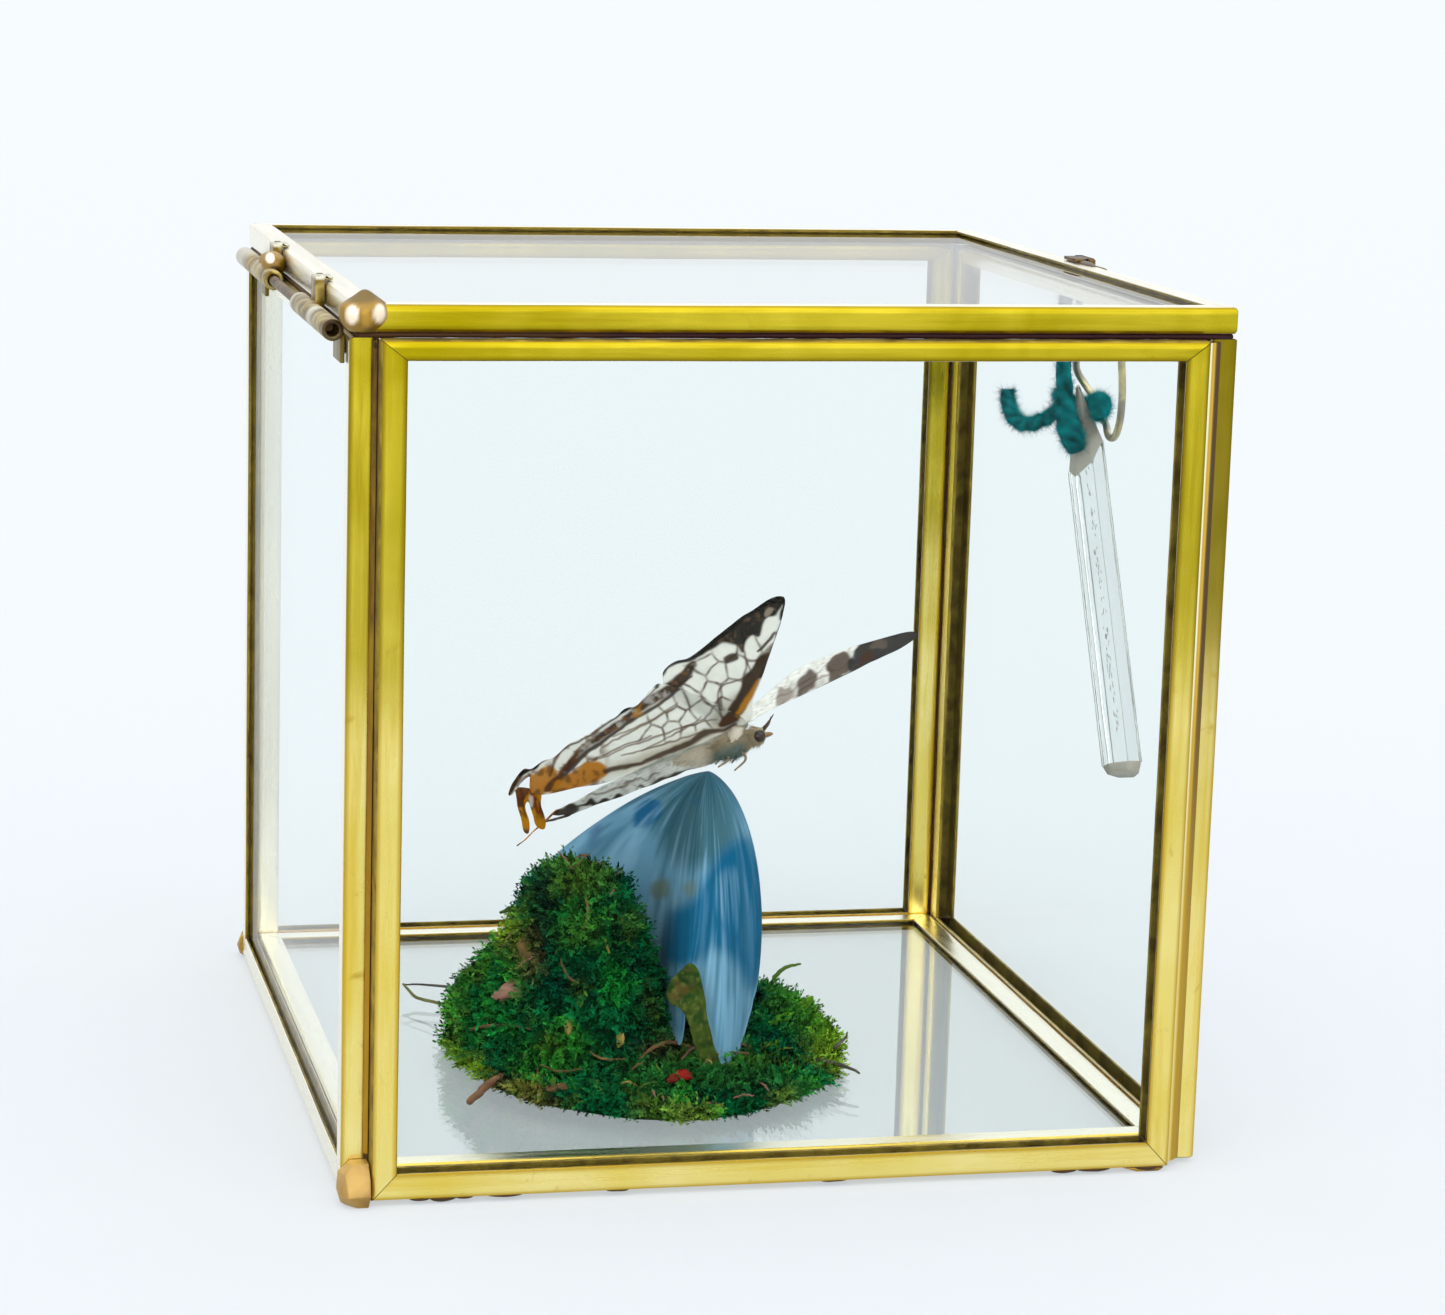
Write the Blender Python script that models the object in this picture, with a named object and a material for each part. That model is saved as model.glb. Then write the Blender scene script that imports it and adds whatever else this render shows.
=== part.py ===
"""A spread butterfly on a dried blue bloom and a moss mound, in a small hinged glass box.

Glass panes edged in brass channel make the box. Its lid turns on a pin along the left
top edge, and a wire loop hangs from the lid's right edge with a clear crystal tied in it.

Sizes are in millimetres in the box's own frame: X runs to the right along the front,
Y runs back, Z runs up, and (0, 0, 0) is the box's front left bottom corner. place()
turns them into metres about the origin, which is the middle of the whole object's base.
"""

import math

import bmesh
import bpy
from mathutils import Vector, noise

MM = 0.001

# ---------------------------------------------------------------- driving dimensions
BOX_WIDTH = 100.0
BOX_DEPTH = 107.0
CASE_HEIGHT = 95.5
GAP = 0.12                    # between two pieces that touch

CHANNEL_THICK = 3.05          # brass channel, through the pane
CHANNEL_WEB = 0.4
CHANNEL_ROUND = 0.45
GLASS_THICK = 2.0
GLASS_PLAY = 0.12

FACE_TOP = 2.2                # width of each channel's face, seen square on
FACE_BOTTOM = 3.05
FACE_POST = 2.85
FACE_INNER = 3.15
FACE_LID = 2.7
FRONT_SLIT = 1.15             # between the front pane's channel and the right wall

LID_LEFT = 0.5
LID_RIGHT = 99.3
LID_FRONT = 1.75
LID_BACK = 105.45
LID_GAP = 0.6

FOOT = 0.6                    # the solder feet stand this far below the channels

HINGE_X = -1.5
HINGE_Z = 96.0
TUBE_R = 1.2
TUBE_BORE = 0.7
PIN_R = 0.6

CLASP_X = 101.0
CLASP_Z = 97.65
EYE_R = 1.05
EYE_BORE = 0.68
WIRE_R = 0.5

CRYSTAL_TOP = Vector((103.6, 68.7, 82.5))
CRYSTAL_BOTTOM = Vector((106.0, 50.4, 34.9))
CRYSTAL_R = 2.5
YARN_R = 1.05

MOSS_MIDDLE = (43.0, 44.0)
MOSS_RADII = (23.6, 27.5)
HUMP_MIDDLE = (33.8, 40.0)
HUMP_RADIUS = 9.4

SOLDER_REACH = 1.0            # corner solder in front of the box and behind it
CRYSTAL_REACH = 108.17        # the crystal's lower end, the part's rightmost point

# ---------------------------------------------------------------- worked out from them
ORIGIN = Vector((
    (CRYSTAL_REACH + HINGE_X - TUBE_R) / 2,
    BOX_DEPTH / 2,
    -FOOT,
))
T = CHANNEL_THICK
INNER_RIGHT = BOX_WIDTH - T
INNER_BACK = BOX_DEPTH - T
FRONT_RIGHT = INNER_RIGHT - FRONT_SLIT
LID_BOTTOM = CASE_HEIGHT + LID_GAP
LID_TOP = LID_BOTTOM + T
GLASS_LOW = (T - GLASS_THICK) / 2
FLOOR_TOP = GLASS_LOW + GLASS_THICK
MOSS_BASE = FLOOR_TOP + 0.3
HINGE_AXIS = Vector((HINGE_X, 0, HINGE_Z))
CLASP_AXIS = Vector((CLASP_X, 55.0, CLASP_Z))

X = Vector((1, 0, 0))
Y = Vector((0, 1, 0))
Z = Vector((0, 0, 1))


def place(point):
    """A point of the box's frame, in metres about the origin."""
    return (Vector(point) - ORIGIN) * MM


# ---------------------------------------------------------------- materials
def material(name, colour, roughness, metallic=0.0, transmission=0.0):
    made = bpy.data.materials.new(name)
    made.use_nodes = True
    made.diffuse_color = (*colour, 1.0)
    shader = made.node_tree.nodes["Principled BSDF"]
    shader.inputs["Base Color"].default_value = (*colour, 1.0)
    shader.inputs["Roughness"].default_value = roughness
    shader.inputs["Metallic"].default_value = metallic
    shader.inputs["Transmission Weight"].default_value = transmission
    return made


def own_material(name):
    """Each object has a material of its own, in the finish that its name calls for."""
    finishes = (
        ("glass", (0.93, 0.97, 0.96), 0.02, 0.0, 1.0),
        ("crystal", (0.95, 0.96, 0.96), 0.08, 0.0, 1.0),
        ("solder", (0.78, 0.50, 0.22), 0.35, 1.0, 0.0),
        ("moss", (0.05, 0.16, 0.02), 0.95, 0.0, 0.0),
        ("bloom", (0.05, 0.22, 0.42), 0.6, 0.0, 0.0),
        ("butterfly", (0.85, 0.80, 0.68), 0.8, 0.0, 0.0),
        ("yarn", (0.0, 0.28, 0.28), 0.95, 0.0, 0.0),
        ("", (0.72, 0.55, 0.13), 0.28, 1.0, 0.0),
    )
    for word, colour, roughness, metallic, transmission in finishes:
        if word in name:
            return material(name, colour, roughness, metallic, transmission)


# ---------------------------------------------------------------- making objects
def empty(name, at, parent=None):
    """A guide on a joint's axis, which its moving pieces hang from."""
    made = bpy.data.objects.new(name, None)
    made.empty_display_size = 0.01
    made.location = place(at)
    if parent:
        made.parent = parent
        made.location -= Vector(parent["place"])
    made["place"] = place(at)
    bpy.context.scene.collection.objects.link(made)
    return made


def solid(name, points, faces, at, parent=None, smooth=None):
    """One closed mesh from points of the box's frame, with its origin at the point 'at'."""
    base = place(at)
    mesh = bpy.data.meshes.new(name)
    mesh.from_pydata([place(p) - base for p in points], [], faces)
    shape = bmesh.new()
    shape.from_mesh(mesh)
    bmesh.ops.recalc_face_normals(shape, faces=shape.faces)
    shape.to_mesh(mesh)
    shape.free()
    if smooth:
        mesh.shade_smooth()
        mesh.set_sharp_from_angle(angle=math.radians(smooth))
    mesh.materials.append(own_material(name))
    made = bpy.data.objects.new(name, mesh)
    made.location = base
    if parent:
        made.parent = parent
        made.location = base - Vector(parent["place"])
    bpy.context.scene.collection.objects.link(made)
    return made


def hull(name, points, at, parent=None):
    """The convex solid around a few points."""
    shape = bmesh.new()
    for p in points:
        shape.verts.new(p)
    bmesh.ops.convex_hull(shape, input=shape.verts)
    loose = [v for v in shape.verts if not v.link_faces]
    bmesh.ops.delete(shape, geom=loose, context="VERTS")
    shape.verts.index_update()
    corners = [v.co.copy() for v in shape.verts]
    faces = [[v.index for v in f.verts] for f in shape.faces]
    shape.free()
    return solid(name, corners, faces, at, parent)


def combine(whole, part, operation):
    """Cut or fuse one object with another, which stays as a hidden guide."""
    part.hide_render = True
    part.display_type = "WIRE"
    change = whole.modifiers.new(part.name, "BOOLEAN")
    change.operation = operation
    change.solver = "EXACT"
    change.object = part


def box_shape(low, high):
    (x0, y0, z0), (x1, y1, z1) = low, high
    points = [(x, y, z) for z in (z0, z1) for y in (y0, y1) for x in (x0, x1)]
    faces = [(0, 1, 3, 2), (4, 6, 7, 5), (0, 4, 5, 1), (2, 3, 7, 6), (0, 2, 6, 4), (1, 5, 7, 3)]
    return points, faces


def box(name, low, high, parent=None):
    points, faces = box_shape(low, high)
    return solid(name, points, faces, low, parent)


def prism_shape(outline, low, high):
    """An outline in X and Y, drawn up from one height to another."""
    count = len(outline)
    points = [(x, y, z) for z in (low, high) for x, y in outline]
    faces = [tuple(range(count)), tuple(range(count, 2 * count))]
    for i in range(count):
        j = (i + 1) % count
        faces.append((i, j, count + j, count + i))
    return points, faces


def bridge(rings):
    """Side faces and two flat ends for a stack of rings with the same number of points."""
    count = len(rings[0])
    faces = [tuple(range(count))]
    for k in range(len(rings) - 1):
        for i in range(count):
            j = (i + 1) % count
            low, high = k * count, (k + 1) * count
            faces.append((low + i, low + j, high + j, high + i))
    faces.append(tuple(range(count * (len(rings) - 1), count * len(rings))))
    return [p for ring in rings for p in ring], faces


def tube_shape(path, radii, sides):
    """A tube along a path. Its rings are carried along without twisting."""
    path = [Vector(p) for p in path]
    if not hasattr(radii, "__len__"):
        radii = [radii] * len(path)
    rings = []
    side = None
    for i, point in enumerate(path):
        along = (path[min(i + 1, len(path) - 1)] - path[max(i - 1, 0)]).normalized()
        if side is None:
            side = along.orthogonal().normalized()
        side = (side - along * side.dot(along)).normalized()
        other = along.cross(side)
        ring = []
        for k in range(sides):
            turn = math.tau * k / sides
            ring.append(point + (side * math.cos(turn) + other * math.sin(turn)) * radii[i])
        rings.append(ring)
    return bridge(rings)


def smooth_path(points, steps):
    """A curve through the points: Catmull-Rom, with its ends carried straight on."""
    knots = [Vector(p) for p in points]
    knots = [2 * knots[0] - knots[1]] + knots + [2 * knots[-1] - knots[-2]]
    path = []
    for i in range(1, len(knots) - 2):
        a, b, c, d = knots[i - 1:i + 3]
        for k in range(steps):
            t = k / steps
            path.append(0.5 * (2 * b + (c - a) * t + (2 * a - 5 * b + 4 * c - d) * t * t
                               + (3 * b - a - 3 * c + d) * t ** 3))
    path.append(knots[-2])
    return path


def ball_shape(middle, radii, turns=14, rows=8):
    """An ellipsoid made of rows of points between two poles."""
    points = [Vector(middle) + Vector((0, 0, -radii[2]))]
    for r in range(1, rows):
        tilt = math.pi * r / rows - math.pi / 2
        for k in range(turns):
            turn = math.tau * k / turns
            points.append(Vector(middle) + Vector((
                radii[0] * math.cos(tilt) * math.cos(turn),
                radii[1] * math.cos(tilt) * math.sin(turn),
                radii[2] * math.sin(tilt))))
    points.append(Vector(middle) + Vector((0, 0, radii[2])))
    last = len(points) - 1
    faces = []
    for k in range(turns):
        after = (k + 1) % turns
        faces.append((0, 1 + after, 1 + k))
        faces.append((last, last - turns + k, last - turns + after))
        for r in range(rows - 2):
            low, high = 1 + r * turns, 1 + (r + 1) * turns
            faces.append((low + k, low + after, high + after, high + k))
    return points, faces


# ---------------------------------------------------------------- glazed panes
def channel_outline(face):
    """The section of a U whose slot opens inward and whose sides are 'face' wide."""
    lip = (T - GLASS_THICK) / 2 - GLASS_PLAY
    soft = CHANNEL_ROUND * (1 - math.sqrt(0.5))
    return [
        (CHANNEL_ROUND, 0), (face, 0), (face, lip), (CHANNEL_WEB, lip),
        (CHANNEL_WEB, T - lip), (face, T - lip), (face, T), (CHANNEL_ROUND, T),
        (soft, T - soft), (0, T - CHANNEL_ROUND), (0, CHANNEL_ROUND), (soft, soft),
    ]


def channel(name, start, along, inward, through, length, faces, parent=None):
    """One brass channel with mitred ends. 'faces' are its own face and those it meets."""
    own, first, last = faces
    rings = []
    for end in (0, 1):
        ring = []
        for width, depth in channel_outline(own):
            if end == 0:
                run = width * first / own + GAP / 2
            else:
                run = length - width * last / own - GAP / 2
            ring.append(start + along * run + inward * width + through * depth)
        rings.append(ring)
    points, sides = bridge(rings)
    return solid(name, points, sides, start, parent)


def pane(name, corner, u, v, through, size, faces, ends=("left", "right"), parent=None):
    """A glass pane and the four channels around it. 'faces' are left, right, low and high."""
    width, height = size
    left, right, low, high = faces
    rail, post = ("rail", "post") if name not in ("floor", "lid") else ("rail", "rail")
    far_low, far_high = ("bottom", "top") if post == "post" else ("front", "back")
    channel(f"{name}_{rail}_{far_low}", corner, u, v, through, width, (low, left, right), parent)
    channel(f"{name}_{rail}_{far_high}", corner + v * height, u, -v, through, width,
            (high, left, right), parent)
    channel(f"{name}_{post}_{ends[0]}", corner, v, u, through, height, (left, low, high), parent)
    channel(f"{name}_{post}_{ends[1]}", corner + u * width, v, -u, through, height,
            (right, low, high), parent)
    inset = CHANNEL_WEB + GLASS_PLAY
    near = corner + (u + v) * inset + through * GLASS_LOW
    far = corner + u * (width - inset) + v * (height - inset) + through * (GLASS_LOW + GLASS_THICK)
    low_corner = [min(a, b) for a, b in zip(near, far)]
    high_corner = [max(a, b) for a, b in zip(near, far)]
    box(f"{name}_glass", low_corner, high_corner, parent)


def case_panes():
    wall = (FACE_INNER, FACE_INNER, FACE_INNER, FACE_TOP)
    run = INNER_BACK - T
    pane("front", Vector((T, 0, 0)), X, Z, Y, (FRONT_RIGHT - T, CASE_HEIGHT),
         (FACE_POST, FACE_POST, FACE_BOTTOM, FACE_TOP))
    pane("back", Vector((T, INNER_BACK, 0)), X, Z, Y, (INNER_RIGHT - T, CASE_HEIGHT), wall)
    pane("left", Vector((0, T, 0)), Y, Z, X, (run, CASE_HEIGHT), wall, ("front", "back"))
    pane("right", Vector((INNER_RIGHT, T, 0)), Y, Z, X, (run, CASE_HEIGHT), wall, ("front", "back"))
    inside = T + GAP
    pane("floor", Vector((inside, inside, 0)), X, Y, Z,
         (INNER_RIGHT - GAP - inside, INNER_BACK - GAP - inside), (FACE_INNER,) * 4)


def lid_pane(lid):
    pane("lid", Vector((LID_LEFT, LID_FRONT, LID_BOTTOM)), X, Y, Z,
         (LID_RIGHT - LID_LEFT, LID_BACK - LID_FRONT), (FACE_LID,) * 4, parent=lid)


# ---------------------------------------------------------------- solder
def corner_seams():
    """Solder run down into the groove at each upright corner."""
    inner = T - GAP
    thin, thick = 2.45, 2.6
    nook = [(inner, inner), (thin, inner), (thick, thick), (inner, thin)]
    slit = FRONT_RIGHT + GAP
    slit_end = INNER_RIGHT - GAP
    corner = [(slit, 1.5), (slit + 0.5, 1.7), (slit + 1.2, 2.2), (slit + 2.0, inner), (slit, inner)]
    low, high = FOOT + 4.2, CASE_HEIGHT - 0.3
    back = [(x, BOX_DEPTH - y) for x, y in nook]
    outlines = {
        "front_left": nook,
        "front_right": corner,
        "back_left": back,
        "back_right": [(BOX_WIDTH - x, y) for x, y in back],
    }
    for where, outline in outlines.items():
        start = GAP if where == "front_right" else low
        points, faces = prism_shape(outline, start, high)
        seam = solid(f"solder_seam_{where}", points, faces, points[0])
        if where == "front_right":
            lap = box("guide_seam_lap", (slit, inner - 0.5, T + GAP), (slit_end, 5.6, high))
            combine(seam, lap, "UNION")


def corner_feet():
    """A lump of solder at each lower corner, with a drip under it that the box stands on."""
    inner = T - GAP
    lump = [
        (1.5, -0.2, -FOOT), (2.8, -0.2, -FOOT), (2.8, 2.4, -FOOT), (1.5, 2.4, -FOOT),
        (0.3, 0.3, -0.3), (0.5, 2.6, -0.3), (-0.2, 1.3, -0.3),
        (-0.5, inner, 0.8), (-0.5, 0.3, 0.7), (0.5, -SOLDER_REACH, 0.8), (inner, -SOLDER_REACH, 0.9),
        (inner, inner, 0.4), (-0.35, inner, 2.9), (0.2, 0.4, 3.0), (inner, -0.5, 2.6),
        (1.0, inner, 4.1), (1.2, 1.5, 4.0), (inner, 1.0, 4.1), (inner, inner, 4.1),
    ]
    for where, flip_x, flip_y, tall in (
            ("front_left", False, False, 1.0), ("back_left", False, True, 0.8),
            ("back_right", True, True, 0.7)):
        points = []
        for x, y, z in lump:
            x = BOX_WIDTH - x if flip_x else x
            y = BOX_DEPTH - y if flip_y else y
            points.append((x, y, z if z < 1 else 1 + (z - 1) * tall))
        hull(f"solder_foot_{where}", points, points[0])
    drip = [
        (92.2, 0.5, -FOOT), (94.7, 0.5, -FOOT), (94.7, 2.5, -FOOT), (92.2, 2.5, -FOOT),
        (90.4, 0.7, -GAP), (95.4, 0.3, -GAP), (95.4, 2.7, -GAP), (90.4, 2.4, -GAP),
    ]
    hull("solder_foot_front_right", drip, drip[0])


def lid_corner_solder(lid):
    """The round blob that wraps the lid's front left corner."""
    points, faces = ball_shape((1.6, 3.2, 98.1), (2.75, 2.55, 2.5), 18, 10)
    blob = solid("lid_corner_solder", points, faces, points[0], lid, smooth=50)
    clear = GAP
    corner = box("guide_lid_corner", (LID_LEFT - clear, LID_FRONT - clear, LID_BOTTOM - 2),
                 (20, 20, LID_TOP + clear), lid)
    below = box("guide_under_lid", (-10, -10, 90), (20, 20, LID_BOTTOM + 0.05), lid)
    combine(blob, corner, "DIFFERENCE")
    combine(blob, below, "DIFFERENCE")


# ---------------------------------------------------------------- hinge
def bored_tube(name, centre, start, end, radii, sides, parent):
    """A tube along Y, from 'start' to 'end', about the line through 'centre'."""
    outer, bore = radii
    points = []
    for y, radius in ((start, outer), (end, outer), (end, bore), (start, bore)):
        for k in range(sides):
            turn = math.tau * (k + 0.5) / sides
            points.append(Vector((centre[0] + radius * math.cos(turn), y,
                                  centre[1] + radius * math.sin(turn))))
    faces = []
    for r in range(4):
        for k in range(sides):
            low, high, after = r * sides, ((r + 1) % 4) * sides, (k + 1) % sides
            faces.append((low + k, low + after, high + after, high + k))
    return solid(name, points, faces, (centre[0], start, centre[1]), parent, smooth=40)


def hinge_tube(name, start, end, parent=None):
    return bored_tube(name, (HINGE_X, HINGE_Z), start, end, (TUBE_R, TUBE_BORE), 20, parent)


def case_knuckle(name, start, end):
    """A tube soldered to a leaf that lies on the left wall."""
    tube = hinge_tube(name, start, end)
    leaf = box(f"guide_leaf_{name}", (-0.62, start + 0.4, HINGE_Z - 3.6),
               (-GAP, start + 6.4, HINGE_Z - 0.3))
    combine(tube, leaf, "UNION")


def lid_knuckle(name, start, end, strap_start, lid):
    """A tube with a strap that climbs the lid's left edge and hooks over its top."""
    tube = hinge_tube(name, start, end, lid)
    strap_end = strap_start + 4.0
    strap = box(f"guide_strap_{name}", (-0.7, strap_start, LID_BOTTOM + 0.1),
                (LID_LEFT - GAP, strap_end, LID_TOP + 0.5), lid)
    pad = box(f"guide_pad_{name}", (-0.2, strap_start + 0.3, LID_TOP + GAP),
              (1.3, strap_end - 0.3, LID_TOP + 0.55), lid)
    combine(tube, strap, "UNION")
    combine(tube, pad, "UNION")


def hinge(lid):
    case_knuckle("hinge_knuckle_front", 5.2, 17.6)
    lid_knuckle("lid_knuckle_front", 17.9, 34.0, 26.4, lid)
    lid_knuckle("lid_knuckle_back", 60.0, 76.0, 67.6, lid)
    case_knuckle("hinge_knuckle_back", 76.3, 92.0)
    path = [(HINGE_X, 8.5, HINGE_Z), (HINGE_X, 91.5, HINGE_Z)]
    points, faces = tube_shape(path, PIN_R, 16)
    solid("hinge_pin", points, faces, path[0], smooth=40)


# ---------------------------------------------------------------- clasp
def clasp_eye(lid):
    """A short tube soldered to the lid's right edge, which carries the wire loop."""
    start, end = 54.0, 60.0
    eye = bored_tube("clasp_eye", (CLASP_X, CLASP_Z), start, end, (EYE_R, EYE_BORE), 16, lid)
    pad = box("guide_eye_pad", (LID_RIGHT + GAP, start + 0.3, CLASP_Z - 0.7),
              (CLASP_X - 0.8, end - 0.3, LID_TOP + 0.5), lid)
    top = box("guide_eye_top", (LID_RIGHT - 1.6, start + 0.6, LID_TOP + GAP),
              (CLASP_X - 0.9, end - 0.6, LID_TOP + 0.55), lid)
    combine(eye, pad, "UNION")
    combine(eye, top, "UNION")


def clasp_loop(clasp):
    """The wire loop: a straight bar through the eye and a round bow that hangs from it."""
    bow = [(CLASP_X, 61.6, CLASP_Z), (101.3, 63.0, 95.2), (102.4, 65.4, 91.0), (103.3, 68.4, 87.0),
           (104.3, 71.2, 83.9), (105.8, 71.0, 81.6), (106.6, 68.2, 79.8), (106.1, 64.0, 77.8),
           (104.8, 58.6, 76.9), (103.9, 53.6, 77.8), (103.5, 50.9, 80.6), (103.2, 50.2, 85.6),
           (102.3, 49.6, 91.6), (101.3, 49.5, 95.8), (CLASP_X, 50.8, CLASP_Z)]
    bar = [Vector((CLASP_X, y, CLASP_Z)) for y in (53.0, 56.0, 59.0)]
    points, faces = closed_tube(bar + smooth_path(bow, 3), WIRE_R, 8)
    solid("clasp_loop", points, faces, CLASP_AXIS, clasp, smooth=60)


def closed_tube(path, radius, sides):
    """A tube whose end meets its start."""
    count = len(path)
    rings = []
    side = Vector((0, 0, 1))
    for i, point in enumerate(path):
        along = (path[(i + 1) % count] - path[i - 1]).normalized()
        side = (side - along * side.dot(along)).normalized()
        rings.append((point, side.copy(), along.cross(side)))
    # carried once round, the side vector has turned: every ring takes its share of that turn
    first_side, first_other = rings[0][1], rings[0][2]
    along = (path[1] - path[-1]).normalized()
    carried = (side - along * side.dot(along)).normalized()
    twist = math.atan2(carried.dot(first_other), carried.dot(first_side))
    points = []
    for i, (point, side, other) in enumerate(rings):
        for k in range(sides):
            turn = math.tau * k / sides - twist * i / count
            points.append(point + (side * math.cos(turn) + other * math.sin(turn)) * radius)
    faces = []
    for i in range(count):
        for k in range(sides):
            low, high, after = i * sides, ((i + 1) % count) * sides, (k + 1) % sides
            faces.append((low + k, low + after, high + after, high + k))
    return points, faces


def crystal_shape():
    """A six-sided point with a long bevel at its upper end and a small one at its lower end."""
    axis = (CRYSTAL_BOTTOM - CRYSTAL_TOP).normalized()
    across = (X - axis * axis.x).normalized()
    other = axis.cross(across)
    length = (CRYSTAL_BOTTOM - CRYSTAL_TOP).length
    low_side = math.radians(153)
    rings = []
    # how far down the axis, share of the full radius, and how far the ring leans
    for run, share, lean in ((0.3, 0.1, 0.2), (8.6, 0.93, 3.0),
                             (length - 1.3, 1.0, 0.0), (length, 0.8, -0.4)):
        ring = []
        for k in range(6):
            turn = math.tau * (k + 0.5) / 6
            spoke = across * math.cos(turn) * 1.03 + other * math.sin(turn) * 0.97
            ring.append(CRYSTAL_TOP + axis * (run + lean * math.cos(turn - low_side))
                        + spoke * CRYSTAL_R * share)
        rings.append(ring)
    return bridge(rings)


def crystal(clasp):
    """The clear crystal that hangs in the loop."""
    points, faces = crystal_shape()
    solid("crystal_point", points, faces, CRYSTAL_TOP, clasp)


def yarn_tie(clasp):
    """Fuzzy yarn that ties the crystal into the loop, with a stiff tail and a curled one."""
    strand = smooth_path([(101.25, 67.6, 93.5), (101.25, 67.4, 88.0), (101.25, 66.8, 82.0),
                          (101.25, 65.6, 78.4), (101.25, 63.9, 76.2), (101.25, 62.6, 75.0)], 3)
    widths = [YARN_R] * (len(strand) - 7) + [1.15, 1.3, 1.45, 1.5, 1.5, 1.35, 0.9]
    points, faces = tube_shape(strand, widths, 8)
    tie = solid("yarn_tie", points, faces, strand[0], clasp, smooth=70)
    arm = smooth_path([(101.25, 66.9, 80.4), (101.25, 70.7, 79.2), (101.25, 76.8, 77.6),
                       (101.25, 83.0, 76.5), (101.25, 88.0, 77.0), (101.25, 90.4, 78.6),
                       (101.25, 91.0, 80.8)], 3)
    points, faces = tube_shape(arm, YARN_R, 8)
    combine(tie, solid("guide_yarn_arm", points, faces, arm[0], clasp), "UNION")
    curl = smooth_path([(101.35, 66.9, 81.4), (101.5, 69.6, 81.4), (102.9, 71.0, 81.2),
                        (104.5, 70.2, 80.2), (105.7, 67.4, 81.3), (105.7, 64.2, 81.8),
                        (104.9, 62.6, 80.9), (104.2, 61.3, 80.1)], 3)
    widths = [0.8] * (len(curl) - 9) + [0.85, 0.95, 1.1, 1.3, 1.45, 1.5, 1.5, 1.3, 0.8]
    points, faces = tube_shape(curl, widths, 8)
    combine(tie, solid("guide_yarn_curl", points, faces, curl[0], clasp), "UNION")


# ---------------------------------------------------------------- moss
def moss_rim(turn):
    """How far the mound reaches from its middle in the direction 'turn'."""
    rx, ry = MOSS_RADII
    round_one = rx * ry / math.hypot(ry * math.cos(turn), rx * math.sin(turn))
    return round_one * (1 + 0.018 * math.sin(3 * turn + 0.6) + 0.012 * math.sin(7 * turn))


def moss_height(x, y):
    """The height of the moss over the floor glass: a low pad, a tall hump and two shoulders."""
    dx, dy = x - MOSS_MIDDLE[0], y - MOSS_MIDDLE[1]
    out = math.hypot(dx, dy) / moss_rim(math.atan2(dy, dx))
    pad = 1.0 + 2.9 * max(0.0, 1 - out ** 2.4)

    def mound(mx, my, radius, tall, power):
        return tall * math.exp(-(math.hypot(x - mx, y - my) / radius) ** power)

    hump = mound(*HUMP_MIDDLE, HUMP_RADIUS, 20.2, 4)
    left = mound(26.5, 47.0, 7.5, 10.0, 3)
    right = mound(58.0, 50.0, 8.0, 3.2, 2.4)
    lumps = 0.7 * noise.noise(Vector((x / 5.5, y / 5.5, 3.7)))
    lumps += 0.35 * noise.noise(Vector((x / 2.4, y / 2.4, 8.1)))
    return pad + max(hump, left) + 0.35 * min(hump, left) + right + lumps * min(1.0, 0.35 + out)


def moss_mound():
    sectors = 44
    shares = (1.0, 1.03, 0.98, 0.91, 0.83, 0.74, 0.66, 0.58, 0.5, 0.42, 0.34, 0.25, 0.15, 0.06)
    rings = []
    for step, share in enumerate(shares):
        ring = []
        for k in range(sectors):
            turn = math.tau * k / sectors
            reach = moss_rim(turn) * share
            x = MOSS_MIDDLE[0] + reach * math.cos(turn)
            y = MOSS_MIDDLE[1] + reach * math.sin(turn)
            high = (0.0, 0.9)[step] if step < 2 else moss_height(x, y)
            ring.append(Vector((x, y, MOSS_BASE + high)))
        rings.append(ring)
    points, faces = bridge(rings)
    mound = solid("moss_mound", points, faces, points[0], smooth=60)
    for name, path, radii in twigs():
        points, faces = tube_shape(path, radii, 6)
        combine(mound, solid(name, points, faces, path[0]), "UNION")
    combine(mound, bloom_surface("guide_bloom_room", 1.3, 1.04), "DIFFERENCE")


def twigs():
    """Stalks and sprigs that reach out of the mound, thin at their free ends."""
    return (
        ("guide_twig_left", [(30.0, 56.0, 5.4), (22.0, 65.0, 5.2), (17.4, 70.5, 4.2)], (0.65, 0.5, 0.35)),
        ("guide_twig_low_left", [(25.0, 34.0, 4.2), (20.6, 28.0, 4.0), (17.4, 21.5, 4.2)], (0.7, 0.6, 0.45)),
        ("guide_twig_right", [(60.0, 33.5, 4.4), (63.4, 29.2, 4.9), (65.6, 25.6, 4.6)], (0.6, 0.45, 0.3)),
        ("guide_sprig_right", [(60.4, 50.8, 5.3), (62.5, 54.2, 8.6), (65.6, 56.5, 9.6)], (0.8, 0.6, 0.35)),
        ("guide_sprig_hump", [(32.0, 40.5, 18.5), (28.0, 42.4, 20.8), (24.6, 43.2, 21.6)], (1.3, 0.9, 0.4)),
    )


# ---------------------------------------------------------------- bloom
BLOOM_TOP = Vector((50.5, 45.2, 37.6))
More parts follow.
